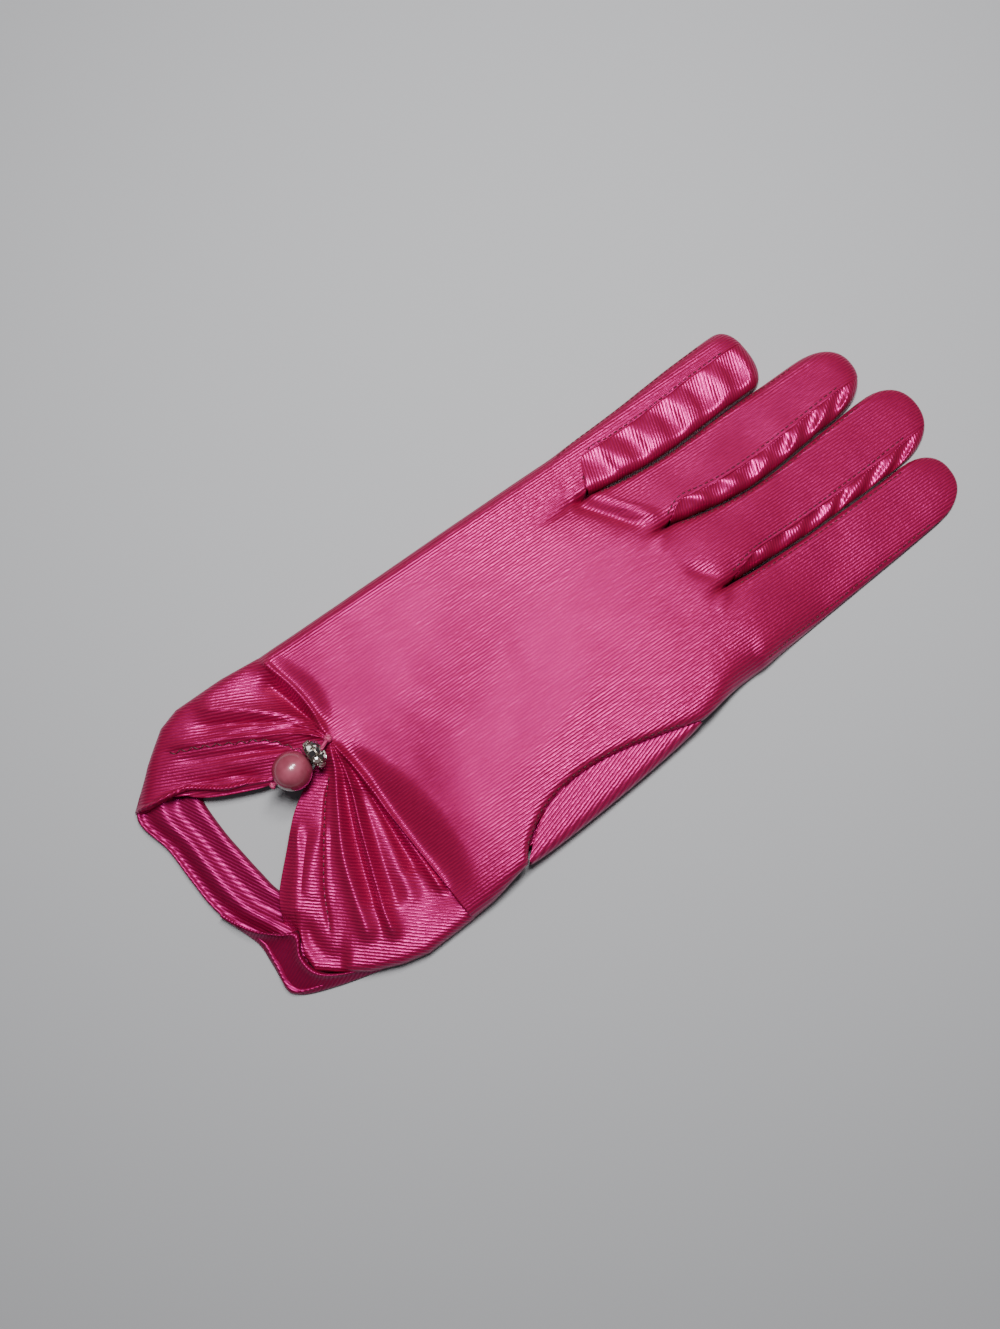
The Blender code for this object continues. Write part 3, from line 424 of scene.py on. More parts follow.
# The thumb's roll, from below the back to the flat tube. Columns: reach inwards in shares
# of the notch, reach outwards in shares of THUMB_BULGE, height in shares of MOUTH_LEVEL,
# and how far in the tube's inner side starts, in shares of THUMB_WIDTH.
THUMB_ROLL = (
    (1.00, 0.00, 1.00, 0.060),
    (0.60, 0.00, 1.00, 0.060),
    (0.26, 0.00, 0.99, 0.060),
    (0.05, 0.15, 0.93, 0.060),
    (0.00, 0.72, 0.75, 0.080),
    (0.00, 1.00, 0.46, 0.100),
    (0.00, 0.92, 0.22, 0.125),
    (0.00, 0.50, 0.05, 0.150),
    (0.00, -0.40, 0.00, 0.180),
    (0.00, -1.05, 0.00, 0.215),
    (0.00, -1.64, 0.00, 0.260),
)


class Curve:
    """A smooth monotone curve through the rows of a table."""

    def __init__(self, rows, column=1):
        self.xs = [row[0] for row in rows]
        self.ys = [row[column] for row in rows]
        spans = zip(self.xs, self.xs[1:], self.ys, self.ys[1:])
        slopes = [(y1 - y0) / (x1 - x0) for x0, x1, y0, y1 in spans]
        self.tangents = [slopes[0]]
        for a, b in zip(slopes, slopes[1:]):
            self.tangents.append(0.0 if a * b <= 0 else 2 * a * b / (a + b))
        self.tangents.append(slopes[-1])

    def __call__(self, share):
        xs, ys = self.xs, self.ys
        share = min(max(share, xs[0]), xs[-1])
        k = min(max(bisect_left(xs, share) - 1, 0), len(xs) - 2)
        span = xs[k + 1] - xs[k]
        u = (share - xs[k]) / span
        start, end = self.tangents[k] * span, self.tangents[k + 1] * span
        value = ys[k] * (2 * u**3 - 3 * u**2 + 1) + ys[k + 1] * (3 * u**2 - 2 * u**3)
        return value + start * (u**3 - 2 * u**2 + u) + end * (u**3 - u**2)


drift_at = [Curve(SEAM_DRIFT, k + 1) for k in range(5)]
fork_at = Curve(FORKS)
left_at = Curve(LEFT_SIDE)
right_at = Curve(RIGHT_SIDE)
left_bend = Curve(LEFT_FLAP_BEND)
right_bend = Curve(RIGHT_FLAP_BEND)
strap_bow = Curve(STRAP_BOW)
slopes = {side: [Curve(rows, 1), Curve(rows, 2)] for side, rows in ((-1, LEFT_SLOPE), (1, RIGHT_SLOPE))}


def smooth(low, high, value):
    """0 below low and 1 above high, with a smooth step between them."""
    u = min(max((value - low) / (high - low), 0.0), 1.0)
    return u * u * (3 - 2 * u)


def mix(a, b, u):
    return a + (b - a) * u


def rolled(distance, roll):
    """Height, from 0 to 1, of cloth that rises from a folded edge."""
    u = min(max(distance / roll, 0.0), 1.0)
    return (1 - (1 - u) ** ROLL_POWER) ** (1 / ROLL_POWER)


def plan(x, y):
    return Vector((x, y, 0.0))


def raised(point, z):
    return Vector((point.x, point.y, z))


def along(points, share):
    """The point at a share of a polyline's length."""
    steps = [(b - a).length for a, b in zip(points, points[1:])]
    left = share * sum(steps)
    for a, b, step in zip(points, points[1:], steps):
        if left <= step:
            return a.lerp(b, left / step)
        left -= step
    return points[-1].copy()


def left_side(x):
    return left_at(x / HAND_LENGTH) * HAND_WIDTH


def right_side(x):
    return -right_at(x / HAND_LENGTH) * HAND_WIDTH


def thumb_share(x):
    return (x - THUMB_START) / THUMB_OPENING


def notch(x):
    """How far the back is cut in for the thumb."""
    share = min(max(thumb_share(x), 0.0), 1.0)
    return THUMB_NOTCH_DEPTH * math.sin(math.pi * share**NOTCH_SKEW)


def notch_mask(x):
    share = thumb_share(x)
    return smooth(*NOTCH_START, share) * (1 - smooth(*NOTCH_END, share))


THUMB_BASE = plan(THUMB_START + 0.5 * THUMB_OPENING, right_side(THUMB_START + 0.5 * THUMB_OPENING))
THUMB_DIRECTION = plan(math.cos(THUMB_ANGLE), math.sin(THUMB_ANGLE))
KNOT = plan(KNOT_FROM_CUFF, KNOT_OFFSET)


def thumb_plan(share, across):
    """Plan place on the flat thumb: share along it, across from -1 to 1."""
    tip = smooth(*THUMB_TIP, share)
    joined = smooth(*THUMB_JOIN, share)
    turned = smooth(*THUMB_TWIST, share)
    opening = plan(THUMB_START + THUMB_OPENING, right_side(THUMB_START + THUMB_OPENING))
    opening -= plan(THUMB_START, right_side(THUMB_START))
    side = plan(THUMB_DIRECTION.y, -THUMB_DIRECTION.x)
    sideways = opening.normalized().lerp(side, turned).normalized()
    half = mix(THUMB_BASE_HALF * THUMB_OPENING, 0.5 * THUMB_WIDTH, joined)
    half *= math.sqrt(1 - (THUMB_TAPER * tip) ** 2)
    return THUMB_BASE + THUMB_DIRECTION * share * THUMB_LENGTH + sideways * half * across


def thumb_lift(x, y, reaches=PALM_LIFT_REACHES):
    """How high the cloth lies over the folded thumb."""
    tube_full, tube_end, base_fade, inward_full, inward_end = reaches
    point = plan(x, y) - THUMB_BASE
    reach = min(max(point.dot(THUMB_DIRECTION), 0.0), THUMB_LENGTH - 0.5 * THUMB_WIDTH)
    away = (point - THUMB_DIRECTION * reach).length
    over_tube = 1 - smooth(tube_full * THUMB_WIDTH, tube_end * THUMB_WIDTH, away)
    share = thumb_share(x)
    over_base = smooth(-base_fade, 0.0, share) * (1 - smooth(1.0, 1.0 + base_fade, share))
    inward = y - right_side(x)
    over_base *= 1 - smooth(inward_full * THUMB_WIDTH, inward_end * THUMB_WIDTH, inward)
    return THUMB_LIFT * (1 - (1 - over_tube) * (1 - over_base))


def back_lift(x, y, inside):
    """Lift of the back: the palm's at an edge, and a wide dome inside it."""
    return mix(thumb_lift(x, y), thumb_lift(x, y, BACK_LIFT_REACHES), inside)


def fork_x(seam):
    return fork_at(seam) * HAND_LENGTH


def seam_y(seam, x):
    """Sideways place, at x, of one of the five seams that bound the fingers."""
    beside = FINGER_LENGTHS[max(seam - 1, 0) : seam + 1]
    share = (x - fork_x(seam)) * len(beside) / sum(beside)
    drift = drift_at[seam](share) * HAND_WIDTH / len(FINGER_NAMES)
    return 0.5 * HAND_WIDTH - sum(FINGER_WIDTHS[:seam]) + drift


def crowd(share):
    """Spacing of columns across a finger: closer at its seams."""
    return mix(share, 0.5 - 0.5 * math.cos(math.pi * share), CROWDING)


STATIONS = [f + crowd(k / FINGER_COLUMNS) for f in range(4) for k in range(FINGER_COLUMNS)] + [4.0]
FINGER_SHARES = [1 - (1 - row / FINGER_ROWS) ** ROW_CROWDING for row in range(FINGER_ROWS + 1)]
KNOT_COLUMN = min(range(len(STATIONS)), key=lambda k: abs(STATIONS[k] - KNOT_AT))
KNOT_STATION = STATIONS[KNOT_COLUMN]


def fork_row(station):
    """Plan place of the row of the forks at a station across the hand."""
    k = min(int(station), len(FINGER_NAMES) - 1)
    y = mix(seam_y(k, fork_x(k)), seam_y(k + 1, fork_x(k + 1)), station - k)
    return plan(fork_x(station), y)


def from_knot_share(station):
    """Signed share of the way from the knot to either side: -1 left, 1 right."""
    if station <= KNOT_STATION:
        return station / KNOT_STATION - 1
    return (station - KNOT_STATION) / (4 - KNOT_STATION)


def back_start(station):
    share = from_knot_share(station)
    return KNOT_FROM_CUFF * mix(1.0, KNOT_ROW_ENDS[0 if share < 0 else 1], abs(share))


def palm_start(station):
    share = min(max((station - LEG_END) / PALM_EDGE_SPAN, 0.0), 1.0)
    return KNOT_FROM_CUFF + PALM_NOTCH * math.sin(math.pi * share)


def hand_point(row_share, station, start, notched):
    """Plan place in the hand: row share 0 is the wrist row and 1 the row of the forks."""
    fork = fork_row(station)
    x = mix(start, fork.x, row_share)
    inset = notch(x) if notched else PALM_INSET * notch_mask(x)
    left = left_side(x)
    right = right_side(x) + inset
    share = from_knot_share(station)
    side = left_side(start) if share < 0 else right_side(start)
    knot_y = mix(KNOT_OFFSET, side, abs(share))
    at_knot = (knot_y - left_side(start)) / (right_side(start) - left_side(start))
    fork_left = fork_row(0).y
    at_fork = (fork.y - fork_left) / (fork_row(4).y - fork_left)
    y = mix(left, right, mix(at_knot, at_fork, smooth(0.0, 1.0, row_share)))
    return plan(x, mix(y, fork.y, smooth(*SIDE_BLEND, row_share)))


def finger_point(finger, share, across):
    """Plan place in a finger: share along it, across from 0 to 1 towards the index."""
    low = fork_row(finger)
    high = fork_row(finger + 1)
    start = fork_row(finger + across)
    base_x = 0.5 * (low.x + high.x)
    flat = (1 - abs(2 * across - 1) ** TIP_POWER) ** (1 / TIP_POWER)
    end_x = base_x + FINGER_LENGTHS[finger] - FINGER_TIP_LENGTHS[finger] * (1 - flat)
    x = mix(start.x, end_x, share)
    gap = 0.5 * FINGER_GAP * smooth(*GAP_OPENS, share)
    left = seam_y(finger, x) - (gap if finger else 0.0)
    right = seam_y(finger + 1, x) + (gap if finger < len(FINGER_NAMES) - 1 else 0.0)
    return plan(x, mix(start.y, mix(left, right, across), smooth(*FORK_BLEND, share)))


def hand_top(point, row_share, station):
    """Top of the back over the hand, which parts into fingers near the forks."""
    x, y = point.x, point.y
    near_thumb = notch_mask(x) * (1 - smooth(0.0, THUMB_SIDE_REACH, y - right_side(x) - notch(x)))
    level = mix(RIM, NOTCH_LEVEL, near_thumb)
    from_edge = min(left_side(x) - y, y - right_side(x) - notch(x))
    crisp = 1 - smooth(*CRISP_UNTIL, x) if y < 0 else 0.0
    broad = level + (PALM_TOP - level) * rolled(from_edge, mix(EDGE_ROLL, CRISP_ROLL, crisp))
    finger = min(int(station), 3)
    from_seam = min(station - finger, finger + 1 - station)
    rise = finger_rise(finger, station - finger, x)
    narrow = mix(1.0, rise, smooth(*PARTING, row_share)) if 0.5 < station < 3.5 else rise
    narrow = RIM + (FINGER_TOP - RIM) * narrow
    height = mix(broad, narrow, smooth(*NARROWING, row_share))
    share = from_knot_share(station)
    width, depth = (curve(abs(share)) * MM for curve in slopes[-1 if share < 0 else 1])
    slope = 1 - smooth(*SLOPE_SPAN, (x - back_start(station)) / width)
    height -= depth * slope * rolled(from_edge, SLOPE_ROLL)
    from_knot = (point - KNOT).length
    height = mix(KNOT_LEVEL, height, smooth(KNOT_CORE, KNOT_REACH, from_knot))
    inside = rolled(from_edge, DOME_REACH) * smooth(KNOT_CORE, DOME_REACH, from_knot)
    inside *= mix(1.0, rolled(from_seam, SEAM_DOME), smooth(*DOME_PARTING, row_share))
    return height + back_lift(x, y, inside)


def finger_rise(finger, across, x):
    """Height of a finger's section, from 0 to 1: steep where it lies against another."""
    beyond = smooth(*BEYOND_LITTLE, x - fork_x(1) - FINGER_LENGTHS[0]) if finger < 2 else 0.0
    left = OUTER_ROLL if finger == 0 else mix(INNER_ROLL, OUTER_ROLL, beyond)
    right = OUTER_ROLL if finger == 3 else INNER_ROLL
    return rolled(across, left) * rolled(1 - across, right)


def finger_top(finger, point, share, across):
    """Top of the back of a finger."""
    from_seam = min(across, 1 - across)
    from_tip = (1 - share) * FINGER_LENGTHS[finger]
    height = (FINGER_TOP - RIM) * finger_rise(finger, across, point.x)
    height *= rolled(from_tip, TIP_ROLL)
    height *= 1 - FINGER_TILTS[finger] * across * smooth(*TILT_SPAN, share)
    height *= 1 - TIP_DROPS[finger] * smooth(*DROP_SPAN, share)
    return RIM + height + back_lift(point.x, point.y, rolled(from_seam, SEAM_DOME))


def cuff_places(rows):
    """Plan places from rows in shares of KNOT_FROM_CUFF and HAND_WIDTH."""
    return [(x * KNOT_FROM_CUFF, y * HAND_WIDTH) for x, y in rows]


def flap_point(edge, bends, ray, radius):
    """Plan place in a flap: ray 0 is the knot's line and ray 1 the flap's free edge."""
    outer, end = along(edge, ray), along(edge, 1.0)
    line = end - KNOT
    bend = plan(-line.y, line.x) * bends(radius)
    return KNOT.lerp(outer, radius) + bend * smooth(*BEND_SPAN, ray)


def flap_top(slope_depth, free_from, ray, radius, reach):
    """Top of a flap: rolled at its outer side and low at its free edge."""
    from_edge = (1 - radius) * reach
    from_knot = radius * reach
    level = mix(RIM, FLAP_LEVEL, smooth(*FLAP_RISE, ray) * smooth(0.0, FLAP_RIM, from_edge))
    free = smooth(*FREE_SPAN, ray) * smooth(free_from, free_from + FREE_EDGE_FADE, from_knot)
    dome = mix(PALM_TOP - level, FREE_EDGE_RISE, free)
    height = level + dome * rolled(from_edge, CRISP_ROLL if free_from == RIGHT_FREE_FROM else EDGE_ROLL)
    height -= slope_depth * (1 - smooth(*FLAP_SLOPE, ray)) * rolled(from_edge, SLOPE_ROLL)
    return mix(KNOT_LEVEL, height, smooth(KNOT_CORE, KNOT_REACH, from_knot))


def covered_share(finger, share):
    """Share of a finger's width, from the little finger's side, that the back covers."""
    if finger >= len(FOURCHETTE_WIDTHS):
        return 1.0
    covered = FOURCHETTE_WIDTHS[finger] / FINGER_WIDTHS[finger]
    return 1.0 - covered * smooth(*COVER_FADES[finger], share)


def curve_through(points, steps=CURVE_STEPS):
    """Places along a smooth curve through points in the plan."""
    points = np.array(points)
    points = np.vstack([2 * points[0] - points[1], points, 2 * points[-1] - points[-2]])
    places = []
    for a, b, c, d in zip(points, points[1:], points[2:], points[3:]):
        bend, twist = 2 * a - 5 * b + 4 * c - d, 3 * b - a - 3 * c + d
        for u in np.linspace(0, 1, steps, endpoint=False):
            places.append(0.5 * (2 * b + (c - a) * u + bend * u**2 + twist * u**3))
    places.append(points[-2])
    return np.array(places)


def distance_to(xy, places):
    """Distance from many points to a curve, and the length along it where it is nearest."""
    starts, steps = places[:-1], np.diff(places, axis=0)
    lengths = np.linalg.norm(steps, axis=1)
    before = np.concatenate([[0], np.cumsum(lengths)])
    nearest = np.full(len(xy), 1e9)
    at = np.zeros(len(xy))
    for start, step, length, done in zip(starts, steps, lengths, before):
        u = np.clip((xy - start) @ step / length**2, 0, 1)
        away = np.linalg.norm(xy - start - u[:, None] * step, axis=1)
        closer = away < nearest
        nearest[closer] = away[closer]
        at[closer] = (done + u * length)[closer]
    return nearest, at, before[-1]


def fade(low, high, values):
    u = np.clip((values - low) / (high - low), 0, 1)
    return u * u * (3 - 2 * u)


def line_relief(xy, row, unit_x, unit_y, start_fade, end_fade, widening=0.0):
    """Heights of a crest along a curve that widens towards its end."""
    height, width, points = row
    places = curve_through([(x * unit_x, y * unit_y) for x, y in points])
    away, at, length = distance_to(xy, places)
    wide = width * MM * (1 + widening * (at / length - FAN_START))
    crest = 1 / (1 + (away / wide) ** 2) ** CREST_POWER
    return height * MM * crest * fade(0, start_fade, at) * fade(0, end_fade, length - at)


def folds_relief(xy):
    """The folds of both flaps: the higher one where two meet, less the pressed lines."""
    ends = (KNOT_FROM_CUFF, HAND_WIDTH, KNOT_FADE, END_FADE, FAN_WIDENING)
    total = np.zeros(len(xy))
    for row in RIDGES:
        total = np.maximum(total, line_relief(xy, row, *ends))
    for row in TROUGHS:
        total -= line_relief(xy, row, *ends)
    return total


def creases_relief(xy):
    total = np.zeros(len(xy))
    for row in HAND_CREASES:
        ends = CREASE_FADE * row[1] * MM
        total += line_relief(xy, row, HAND_LENGTH, HAND_WIDTH, ends, ends)
    return total


def slow_waves(point, size, height):
    """Gentle unevenness of cloth that has been pressed flat."""
    return height * noise.noise(Vector((point[0], point[1], 0.3)) / size)


def shaped(grid):
    """A grid of points with the folds, creases and unevenness added to its heights."""
    points = np.array([[tuple(p) for p in row] for row in grid])
    flat = points.reshape(-1, 3)
    flat[:, 2] += folds_relief(flat[:, :2]) + creases_relief(flat[:, :2])
    for point in flat:
        point[2] += sum(slow_waves(point, size, height) for size, height in WAVES)
    return [[Vector(p) for p in row] for row in points]


def grain(point, angle):
    """Place on the cloth, in metres along and across its ribs."""
    turned = Matrix.Rotation(-angle, 2) @ Vector((point.x, point.y))
    return (turned.x, turned.y)


def select_only(piece):
    bpy.ops.object.select_all(action="DESELECT")
    bpy.context.view_layer.objects.active = piece
    piece.select_set(True)


def apply_modifiers(piece):
    select_only(piece)
    for modifier in list(piece.modifiers):
        bpy.ops.object.modifier_apply(modifier=modifier.name)
    piece.select_set(False)


def linked(name, bm, look):
    """The finished mesh as an object of the scene."""
    mesh = bpy.data.meshes.new(name)
    bm.to_mesh(mesh)
    bm.free()
    mesh.shade_smooth()
    mesh.materials.append(look)
    piece = bpy.data.objects.new(name, mesh)
    bpy.context.scene.collection.objects.link(piece)
    return piece


def add_mesh(name, bm, look):
    bmesh.ops.recalc_face_normals(bm, faces=bm.faces)
    piece = linked(name, bm, look)
    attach(piece, "root")
    return piece


def add_cloth(name, grids, look, angles, wall=WALL, upward=True):
    """A sheet through grids of points, with a map of its weave and a wall inwards."""
    bm = bmesh.new()
    weave = bm.loops.layers.uv.new("weave")
    for points, angle in zip(grids, angles):
        rows = [[bm.verts.new(p + SHIFT) for p in row] for row in points]
        for low, high in zip(rows, rows[1:]):
            for a, b, c, d in zip(low, low[1:], high[1:], high):
                face = bm.faces.new((a, b, c, d))
                for loop in face.loops:
                    loop[weave].uv = grain(loop.vert.co, angle)
    bmesh.ops.remove_doubles(bm, verts=bm.verts, dist=0.01 * MM)
    bmesh.ops.recalc_face_normals(bm, faces=bm.faces)
    total = sum(face.normal.z * face.calc_area() for face in bm.faces)
    if (total > 0) != upward:
        bmesh.ops.reverse_faces(bm, faces=bm.faces)
    piece = linked(name, bm, look)
    cloth = piece.modifiers.new("cloth", "SOLIDIFY")
    cloth.thickness = wall
    cloth.offset = -1.0
    cloth.use_rim = True
    apply_modifiers(piece)
    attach(piece, "root")
    return piece


def feed(tree, made, inputs):
    """Link each input of a node to a socket, or set it to a value."""
    for socket, source in dict(inputs).items():
        if isinstance(source, bpy.types.NodeSocket):
            tree.links.new(source, made.inputs[socket])
        else:
            made.inputs[socket].default_value = source


def node(tree, kind, inputs=(), **settings):
    made = tree.nodes.new(kind)
    for name, value in settings.items():
        setattr(made, name, value)
    feed(tree, made, inputs)
    return made


def maths(tree, operation, *values, **settings):
    made = node(tree, "ShaderNodeMath", enumerate(values), operation=operation, **settings)
    return made.outputs["Value"]


def noise_mask(tree, place, scale, detail=2.0):
    inputs = {"Vector": place, "Scale": scale, "Detail": detail}
    return node(tree, "ShaderNodeTexNoise", inputs).outputs["Fac"]


def blend(tree, share, first, second):
    inputs = {"Factor": share, "A": first, "B": second}
    return node(tree, "ShaderNodeMix", inputs, data_type="RGBA").outputs["Result"]


def bumps(tree, height, distance):
    return node(tree, "ShaderNodeBump", {"Height": height, "Distance": distance}).outputs["Normal"]


def ramp(tree, mask, stops, interpolation="LINEAR"):
    """Colours over a mask, from stops of a place and a colour; a middle one comes last."""
    made = node(tree, "ShaderNodeValToRGB", {"Fac": mask})
    band = made.color_ramp
    band.interpolation = interpolation
    for k, (at, colour) in enumerate(stops):
        stop = band.elements[k] if k < 2 else band.elements.new(at)
        stop.position = at
        stop.color = (*colour, 1)
    return made.outputs["Color"]


def weave_group():
    """Satin weave: long floating ribs with uneven yarns."""
    tree = bpy.data.node_groups.new("satin_weave", "ShaderNodeTree")
    for name, kind, value in (
        ("Deep", "NodeSocketColor", (0.20, 0.01, 0.04, 1)),
        ("Light", "NodeSocketColor", (0.75, 0.08, 0.30, 1)),
        ("Rib pitch", "NodeSocketFloat", RIB_PITCH),
        ("Rib height", "NodeSocketFloat", 0.03 * MM),
        ("Gloss", "NodeSocketFloat", 0.36),
    ):
        tree.interface.new_socket(name, in_out="INPUT", socket_type=kind).default_value = value
    for name, kind in (("Color", "Color"), ("Roughness", "Float"), ("Normal", "Vector")):
        tree.interface.new_socket(name, in_out="OUTPUT", socket_type=f"NodeSocket{kind}")
    given = tree.nodes.new("NodeGroupInput").outputs
    uv = node(tree, "ShaderNodeUVMap", uv_map="weave").outputs["UV"]
    across = node(tree, "ShaderNodeSeparateXYZ", {"Vector": uv}).outputs["Y"]
    ribs = maths(tree, "DIVIDE", across, given["Rib pitch"])
    bent = maths(tree, "MULTIPLY_ADD", noise_mask(tree, uv, WOBBLE_SCALE), WOBBLE, ribs)
    wave = maths(tree, "SINE", maths(tree, "MULTIPLY", bent, 2 * math.pi))
    rib = node(tree, "ShaderNodeMapRange", {"Value": wave, "From Min": -1.0}).outputs["Result"]
    drawn = node(tree, "ShaderNodeMapping", {"Vector": uv, "Scale": YARN_SCALE}).outputs["Vector"]
    yarn = noise_mask(tree, drawn, 1.0, 3.0)
    mottle = noise_mask(tree, uv, MOTTLE_SCALE, 4.0)
    share = maths(tree, "MULTIPLY_ADD", yarn, YARN_SHARE, maths(tree, "MULTIPLY", rib, RIB_SHARE))
    share = maths(tree, "MULTIPLY_ADD", mottle, MOTTLE_SHARE, share, use_clamp=True)
    dull = maths(tree, "MULTIPLY_ADD", yarn, YARN_DULLNESS, given["Gloss"])
    height = maths(tree, "MULTIPLY_ADD", yarn, YARN_HEIGHT, rib)
    results = {
        "Color": blend(tree, share, given["Deep"], given["Light"]),
        "Roughness": maths(tree, "MULTIPLY_ADD", rib, -RIB_SHINE, dull),
        "Normal": bumps(tree, height, given["Rib height"]),
    }
    node(tree, "NodeGroupOutput", results)
    return tree


def principled(name):
    made = bpy.data.materials.new(name)
    made.use_nodes = True
    return made, made.node_tree, made.node_tree.nodes["Principled BSDF"]


def satin(name, deep, light, rib_height=0.085 * MM, gloss=0.43):
    made, tree, shader = principled(name)
    inputs = {"Deep": (*deep, 1), "Light": (*light, 1), "Rib height": rib_height, "Gloss": gloss}
    weave = node(tree, "ShaderNodeGroup", inputs, node_tree=WEAVE).outputs
    surface = {
        "Base Color": weave["Color"],
        "Roughness": weave["Roughness"],
        "Normal": weave["Normal"],
        "Specular IOR Level": 1.0,
        "IOR": 1.8,
        "Specular Tint": (1.0, 0.045, 0.42, 1),
        "Sheen Weight": 0.03,
        "Sheen Roughness": 0.4,
        "Sheen Tint": (1.0, 0.35, 0.6, 1),
    }
    feed(tree, shader, surface)
    return made


def gloss(name, colour, roughness, metallic=0.0, coat=0.0):
    """A plain glossy material, and the place on its piece for what goes on top."""
    made, tree, shader = principled(name)
    surface = {
        "Base Color": (*colour, 1),
        "Roughness": roughness,
        "Metallic": metallic,
        "Coat Weight": coat,
        "Coat Roughness": 0.05,
    }
    feed(tree, shader, surface)
    return made, tree, shader, node(tree, "ShaderNodeTexCoord").outputs["Object"]


def pearl_look():
    """Nacre over a pink bead: slow clouds of colour, fine ripples in the coat, and a painted shade that
    darkens it towards its rim.
    """
    made, tree, shader, place = gloss("pearl_nacre", (0.6, 0.2, 0.27), 0.28, 0.0, 0.9)
    stops = ((0.35, (0.20, 0.032, 0.055)), (0.70, (0.33, 0.070, 0.11)))
    cloud = ramp(tree, noise_mask(tree, place, 260.0), stops)
    # Painted shade: where the bead turns away from the view towards its rim, its colour goes over to a
    # dark red.
    edge = node(tree, "ShaderNodeLayerWeight", {"Blend": 0.35}).outputs["Facing"]
    surface = {
        "Base Color": blend(tree, edge, cloud, (0.13, 0.012, 0.022, 1)),
        "Normal": bumps(tree, noise_mask(tree, place, 2500.0), 0.01 * MM),
        "Specular Tint": (1.0, 0.75, 0.82, 1),
    }
    feed(tree, shader, surface)
    return made


def metal_look():
    """Blackened metal of the setting, lighter where it has been rubbed."""
    made, tree, shader, place = gloss("gunmetal", (0.10, 0.085, 0.08), 0.25, 0.9)
    rub = noise_mask(tree, place, 1400.0, 4.0)
    spread = node(tree, "ShaderNodeMapRange", {"Value": rub, "To Min": 0.16, "To Max": 0.42})
    stops = ((0.0, (0.05, 0.04, 0.04)), (1.0, (0.34, 0.28, 0.22)))
    surface = {"Base Color": ramp(tree, rub, stops), "Roughness": spread.outputs["Result"]}
    feed(tree, shader, surface)
    return made


def crystal_look():
    """Cut crystal coloured dark, with some cells painted white as glints of light."""
    made, tree, shader, place = gloss("crystal", (0.1, 0.1, 0.1), 0.05, 0.0, 1.0)
    glint_cells = node(tree, "ShaderNodeTexVoronoi", {"Vector": place, "Scale": 950.0}).outputs["Color"]
    # Painted glints: the brightest cells are white, as if facets caught the lamp; the others are a dark
    # and a darker grey.
    stops = ((0.0, (0.020, 0.016, 0.016)), (0.62, (0.90, 0.86, 0.80)), (0.40, (0.16, 0.12, 0.11)))
    feed(tree, shader, {"Base Color": ramp(tree, glint_cells, stops, "CONSTANT"), "IOR": 1.9})
    return made


def thread_look(name, deep, light):
    """Twisted sewing thread: strands that wind round it show as fine slanted lines."""
    made, tree, shader, place = gloss(name, light, 0.55)
    inputs = {"Vector": place, "Scale": 900.0, "Distortion": 1.5}
    strands = node(tree, "ShaderNodeTexWave", inputs, bands_direction="DIAGONAL").outputs["Fac"]
    surface = {
        "Base Color": ramp(tree, strands, ((0.0, deep), (1.0, light))),
        "Normal": bumps(tree, strands, 0.04 * MM),
    }
    feed(tree, shader, surface)
    return made


def finger_grids(hand, place_at):
    """Grids of the four fingers, which go on from the last row of the hand."""
    grids = []
    for finger in range(4):
        first = finger * FINGER_COLUMNS
        grid = [hand[-1][first : first + FINGER_COLUMNS + 1]]
        for share in FINGER_SHARES[1:]:
            places = [crowd(column / FINGER_COLUMNS) for column in range(FINGER_COLUMNS + 1)]
            grid.append([place_at(finger, share, across) for across in places])
        grids.append(grid)
    return grids


def back_of_finger(finger, share, place):
    across = place * covered_share(finger, share)
    point = finger_point(finger, share, across)
    return raised(point, finger_top(finger, point, share, across))


def flap_grid(first, stations, rays, rows, bends, side, free_from):
    """Rows of one flap, from the row of the wrist to its free edge."""
    edge = [plan(*place) for place in cuff_places(rows)]
    grid = [first]
    for ray in range(1, rays + 1):
        share = ray / rays
        reach = (along(edge, share) - KNOT).length
        line = []
        for station in stations:
            radius = abs(from_knot_share(station))
            point = flap_point(edge, bends, share, radius)
            depth = slopes[side][1](radius) * MM
            line.append(raised(point, flap_top(depth, free_from, share, radius, reach)))
        grid.append(line)
    return grid


def make_back():
    hand = []
    for row in range(HAND_ROWS + 1):
        share = (row / HAND_ROWS) ** ROW_CROWDING
        line = []
        for station in STATIONS:
            point = hand_point(share, station, back_start(station), True)
            line.append(raised(point, hand_top(point, share, station)))
        hand.append(line)
    left = (LEFT_RAYS, LEFT_FLAP_EDGE, left_bend, -1, LEFT_FREE_FROM)
    right = (RIGHT_RAYS, RIGHT_FLAP_EDGE, right_bend, 1, RIGHT_FREE_FROM)
    grids = [hand, *finger_grids(hand, back_of_finger)]
    grids.append(flap_grid(hand[0][KNOT_COLUMN::-1], STATIONS[KNOT_COLUMN::-1], *left))
    grids.append(flap_grid(hand[0][KNOT_COLUMN:], STATIONS[KNOT_COLUMN:], *right))
    angles = [0.0] * (len(grids) - 2) + [LEFT_GRAIN, RIGHT_GRAIN]
    return add_cloth("back_cloth", [shaped(grid) for grid in grids], BACK_SATIN, angles)


def sole(point, from_edge):
    """A place on the palm, which rises to its rim and over the thumb."""
    level = SOLE_RIM * (1 - rolled(from_edge, SOLE_ROLL))
    return raised(point, level + thumb_lift(point.x, point.y))


def sole_of_finger(finger, share, across):
    from_seam = min(across, 1 - across) * FINGER_WIDTHS[finger]
    from_tip = (1 - share) * FINGER_LENGTHS[finger]
    return sole(finger_point(finger, share, across), min(from_seam, from_tip))


def strap_section(row, across):
    inner, outer = cuff_places((row[:2], row[2:]))
    return plan(*inner).lerp(plan(*outer), across)


